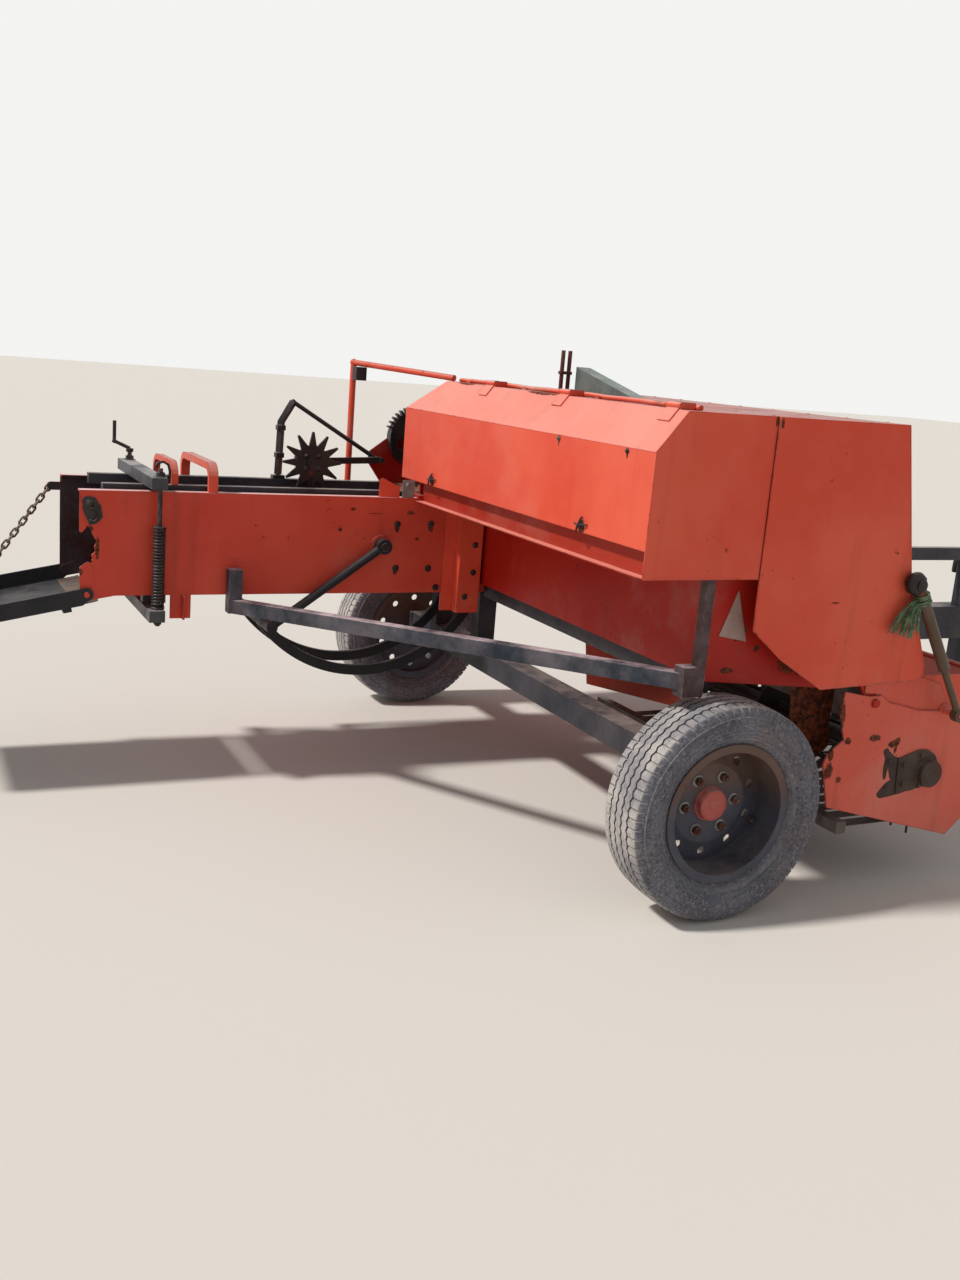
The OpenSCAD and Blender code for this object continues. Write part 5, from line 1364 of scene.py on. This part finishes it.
@dataclass
class LiftStrut(SubAssembly):
    """The tangle of old twine on the lift strut's upper tube."""
    coats: ClassVar[dict[str, Coat]] = {"lift_barrel": Coat.OLIVE, "lift_rod": Coat.OLIVE}
    top: Point = (0.652, 0.024, 1.040)
    low: Point = (0.917, 0.024, 0.600)
    wraps: int = 9
    strands: int = 30
    strand_r: float = 0.0021

    def _along(self) -> tuple[Vector, Vector]:
        """Give the strut's direction and the one across it, in the plane it swings in."""
        along = (Vector(self.low) - Vector(self.top)).normalized()
        return along, Vector((along.z, 0.0, -along.x))

    def _wound(self, shape: Shaper, rng: random.Random) -> None:
        """Wind the knot round the tube.

        Args:
            shape: The piece that it is added to.
            rng: The tangle's own random numbers.
        """
        along, across = self._along()
        side = Vector((0.0, 1.0, 0.0))
        steps = 14
        path = []
        total = self.wraps * steps
        for k in range(total + 1):
            angle = 2 * math.pi * k / steps
            reach = 0.0218 + 0.0026 * rng.random()
            centre = Vector(self.top) + along * (0.036 + 0.030 * (0.5 - 0.5 * math.cos(3 * math.pi * k / total)))
            path.append(centre + (across * math.cos(angle) + side * math.sin(angle)) * reach)
        shape.tube(path, self.strand_r * 1.15, 6)

    def _fan(self, shape: Shaper, rng: random.Random) -> None:
        """Let the loose ends hang down from the knot as a fan.

        Args:
            shape: The piece that they are added to.
            rng: The tangle's own random numbers.
        """
        along, across = self._along()
        knot = Vector(self.top) + along * 0.050 + across * 0.0205
        for k in range(self.strands):
            share = k / (self.strands - 1)
            start = knot + along * 0.030 * (share - 0.3) + Vector((0, -0.008 + 0.016 * rng.random(), 0))
            end = knot + Vector((-0.108 + 0.112 * share + 0.02 * rng.random(), -0.012 + 0.024 * rng.random(),
                                 -0.052 - 0.040 * math.sin(math.pi * (0.15 + 0.6 * share)) - 0.03 * rng.random()))
            lift = 0.012 + 0.018 * rng.random()
            sway = 0.010 * (rng.random() - 0.5)
            shape.tube([start.lerp(end, t) + Vector((sway * math.sin(9 * t), 0.0, lift * math.sin(math.pi * t)))
                        for t in (0.0, 0.12, 0.25, 0.4, 0.55, 0.7, 0.85, 1.0)], self.strand_r, 6)

    def build(self) -> None:
        """Make the tangle."""
        shape = self.piece("wound_twine", Coat.TWINE, "lift_barrel", smooth=60)
        rng = random.Random(5)
        self._wound(shape, rng)
        self._fan(shape, rng)
        lump = self.piece("strut_top_rag", Coat.OILY, "lift_barrel", smooth=70)
        middle = Vector((self.top[0] - 0.012, 0.0, self.top[2] + 0.004))
        spin = [2 * math.pi * k / 22 for k in range(22)]
        uneven = [1 + 0.16 * (rng.random() - 0.5) for _ in spin]
        sections = ((0.0085, 0.026), (0.0105, 0.033), (0.0180, 0.037), (0.0300, 0.036), (0.0400, 0.032),
                    (0.0440, 0.026))
        lump.rings([[middle + Vector((r * u * math.cos(a), y, r * u * math.sin(a))) for a, u in zip(spin, uneven)]
                    for y, r in sections])
        pin = self.piece("strut_pin_washer", Coat.OILY, smooth=40)
        pin.lathe((self.top[0], 0.0035, self.top[2]), LEFT,
                  [(0.0, 0.0110), (0.001, 0.0190), (0.006, 0.0200), (0.0085, 0.0190)], 20)


@dataclass
class Pickup(SubAssembly):
    """Bearings and worn covers of the pickup."""
    coats: ClassVar[dict[str, Coat]] = {
        "pickup_plates": Coat.PICKUP, "pickup_reel": Coat.OILY, "pickup_bands": Coat.BANDS,
        "wind_guard": Coat.WORN, "feeder_trough": Coat.DEEP_RED, "chamber_floor": Coat.DEEP_RED,
        "feeder_carriage": Coat.BARE, "needle_yoke": Coat.BLUE}
    right_y: float = 0.080
    left_y: float = 1.620
    reel_at: Flat = (0.875, 0.385)
    cover_t: float = 0.005
    right_boss: tuple[Flat, ...] = (
        (0.003, 0.0500), (0.007, 0.0500), (0.008, 0.0475), (0.0230, 0.0472), (0.0260, 0.0460), (0.0272, 0.0330),
        (0.0280, 0.0325))
    left_boss: tuple[Flat, ...] = ((0.003, 0.0530), (0.008, 0.0530), (0.022, 0.0475), (0.025, 0.0455))

    def _bearing(self, side: str, out: float, face: float) -> None:
        """Add one end's bearing cover: a rusty plate, its ring, a cap and the screws.

        Args:
            side: right or left.
            out: -1 for the right end, 1 for the left.
            face: Where the plate's outer face is.
        """
        axis = (0, out, 0)
        shape = self.piece(f"{side}_reel_bearing", Coat.TORN, "pickup", bevel=0.0012, smooth=35)
        x, z = self.reel_at
        outline = [(-0.137, 0.058), (-0.098, 0.070), (-0.046, 0.084), (-0.010, 0.081), (0.024, 0.062), (0.042, 0.034),
                   (0.046, -0.020), (0.026, -0.038), (-0.014, -0.046), (-0.058, -0.058), (-0.128, -0.062),
                   (-0.134, -0.010)]
        shape.prism(moved((x, z), outline), min(face, face + out * self.cover_t), self.cover_t)
        shape.lathe((x, face, z), axis, self.right_boss if out < 0 else self.left_boss, 36)
        for a, b in ((-0.112, 0.036), (-0.108, -0.030), (-0.040, 0.066), (-0.034, -0.040)):
            shape.bolt((x + a, face + out * self.cover_t, z + b), axis, 0.0085, 0.007)

    def _opening(self) -> None:
        """Lay the torn, dark inspection opening beside the right bearing cover."""
        outline = [(0.669, 0.471), (0.674, 0.480), (0.686, 0.483), (0.697, 0.470), (0.707, 0.463), (0.722, 0.452),
                   (0.745, 0.444), (0.770, 0.420), (0.790, 0.322), (0.763, 0.317), (0.722, 0.312), (0.684, 0.308),
                   (0.672, 0.313), (0.667, 0.325), (0.682, 0.344), (0.700, 0.361), (0.719, 0.370), (0.712, 0.380),
                   (0.707, 0.394), (0.700, 0.416), (0.697, 0.396), (0.696, 0.378), (0.688, 0.372), (0.683, 0.380),
                   (0.680, 0.400), (0.679, 0.418), (0.681, 0.446)]
        shape = self.piece("torn_opening", Coat.TORN, "pickup")
        face = self.right_y - 0.0009
        shape.prism(outline, face, 0.0020)
        for x, z in ((0.700, 0.436), (0.703, 0.348)):
            shape.bolt((x, face, z), RIGHT, 0.0070, 0.003)

    def _liners(self) -> None:
        """Close the way between the pickup's plates and the trough with thin inner sheets."""
        outline = [(0.556, 0.674), (0.556, 0.708), (0.690, 0.716), (0.800, 0.718), (0.888, 0.690), (0.945, 0.585),
                   (0.890, 0.560), (0.652, 0.590), (0.640, 0.640), (0.628, 0.664), (0.602, 0.670)]
        shape = self.piece("pickup_liners", Coat.PICKUP, "pickup")
        for y in (self.right_y + 0.0068, self.left_y - 0.0080):
            shape.prism(outline, y, 0.0012)

    def _cheeks(self) -> None:
        """Close the wind guard's ends with thin cheeks beside its arms."""
        outline = [(0.775, 0.724), (1.146, 0.716), (1.160, 0.694), (1.034, 0.560), (0.940, 0.590), (0.782, 0.640)]
        shape = self.piece("wind_guard_cheeks", Coat.PANEL, "wind_guard")
        for y in (self.right_y + 0.0090, self.left_y - 0.0110):
            shape.prism(outline, y, 0.0020)

    def build(self) -> None:
        """Make the pickup's pieces."""
        self._bearing("right", -1.0, self.right_y)
        self._bearing("left", 1.0, self.left_y)
        self._cheeks()
        self._liners()
        self._opening()


@dataclass(frozen=True)
class Studio:
    """Floor, light and the camera of the photograph."""
    yaw: float = 26.64
    pitch: float = 12.66
    roll: float = -4.578
    focal_px: float = 1250.0
    frame_px: tuple[int, int] = (960, 1280)
    camera_at: Point = (-2.309, -2.845, 1.625)
    sun_strength: float = 2.95
    sky_strength: float = 0.345
    floor_reach: float = 60.0

    def camera(self, datum: Datum) -> None:
        """Create the camera that sees the machine as the photograph does.

        Args:
            datum: Where the measured places start.
        """
        yaw, pitch, roll = (math.radians(a) for a in (self.yaw, self.pitch, self.roll))
        forward = Vector((math.sin(yaw) * math.cos(pitch), math.cos(yaw) * math.cos(pitch), -math.sin(pitch)))
        level = Vector((math.cos(yaw), -math.sin(yaw), 0.0))
        down = forward.cross(level)
        right = level * math.cos(roll) + down * math.sin(roll)
        low = down * math.cos(roll) - level * math.sin(roll)
        data = bpy.data.cameras.new("photo_camera")
        data.sensor_fit = "VERTICAL"
        data.sensor_height = 36.0
        data.lens = self.focal_px / self.frame_px[1] * data.sensor_height
        data.clip_end = 200.0
        camera = placed("photo_camera", data)
        turned = Matrix((right, -low, -forward)).transposed().to_4x4()
        turned.translation = Vector(self.camera_at) + datum.offset
        camera.matrix_world = turned
        bpy.context.scene.camera = camera

    def lights(self) -> None:
        """Create the key and the fill."""
        for name, direction, strength, angle, colour in (
                ("key", Vector((0.70, -0.12, -0.80)), self.sun_strength, 5.0, (1.0, 0.975, 0.94)),
                ("fill", Vector((-0.25, 0.85, -0.45)), 0.06, 60.0, (0.95, 0.97, 1.0))):
            data = bpy.data.lights.new(name, "SUN")
            data.energy = strength
            data.angle = math.radians(angle)
            data.color = colour
            placed(name, data).rotation_euler = direction.to_track_quat("-Z", "Y").to_euler()

    def sky(self) -> None:
        """Light everything softly from all round, in front of a white background."""
        world = bpy.data.worlds.new("studio")
        bpy.context.scene.world = world
        n = Nodes(world)
        path = n.node("ShaderNodeLightPath").outputs
        seen = n.math("MAXIMUM", path["Is Camera Ray"], path["Is Glossy Ray"], False)
        seen = n.math("MAXIMUM", seen, path["Is Transmission Ray"], False)
        soft = n.node("ShaderNodeBackground", {"Color": (0.95, 0.97, 1.0), "Strength": self.sky_strength})
        white = n.node("ShaderNodeBackground", {"Color": (0.90, 0.90, 0.89)})
        mix = n.node("ShaderNodeMixShader", {"Fac": seen, 1: soft.outputs["Background"],
                                             2: white.outputs["Background"]})
        n.node("ShaderNodeOutputWorld", {"Surface": mix.outputs["Shader"]})
        bpy.context.scene.view_settings.view_transform = "Standard"

    def floor(self) -> None:
        """Lay the plain pale floor."""
        mesh = bpy.data.meshes.new("floor")
        reach = self.floor_reach
        mesh.from_pydata([(-reach, -reach, 0), (reach, -reach, 0), (reach, reach, 0), (-reach, reach, 0)],
                         [], [(0, 1, 2, 3)])
        floor = placed("floor", mesh)
        n = Nodes(bpy.data.materials.new("pale_floor"))
        mesh.materials.append(n.shader(srgb(222, 216, 208), 0.9, specular=0.2))


def main() -> None:
    """Load the frame, set up the studio, dress the frame, build every sub-assembly and log each piece's name."""
    logging.basicConfig(level=logging.INFO, format="%(message)s")
    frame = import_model()
    datum = Datum.from_frame(frame)
    studio = Studio()
    studio.camera(datum)
    studio.lights()
    studio.sky()
    studio.floor()
    shop = Workshop(frame, datum)
    shop.dress_all()
    for kind in (RunningGear, DensityGear, Hood, Chamber, FrontDrive, TwineBox, Knotters, LiftStrut, Pickup):
        for name in kind().finish(shop):
            LOG.info("piece %s", name)


if __name__ == "__main__":
    main()
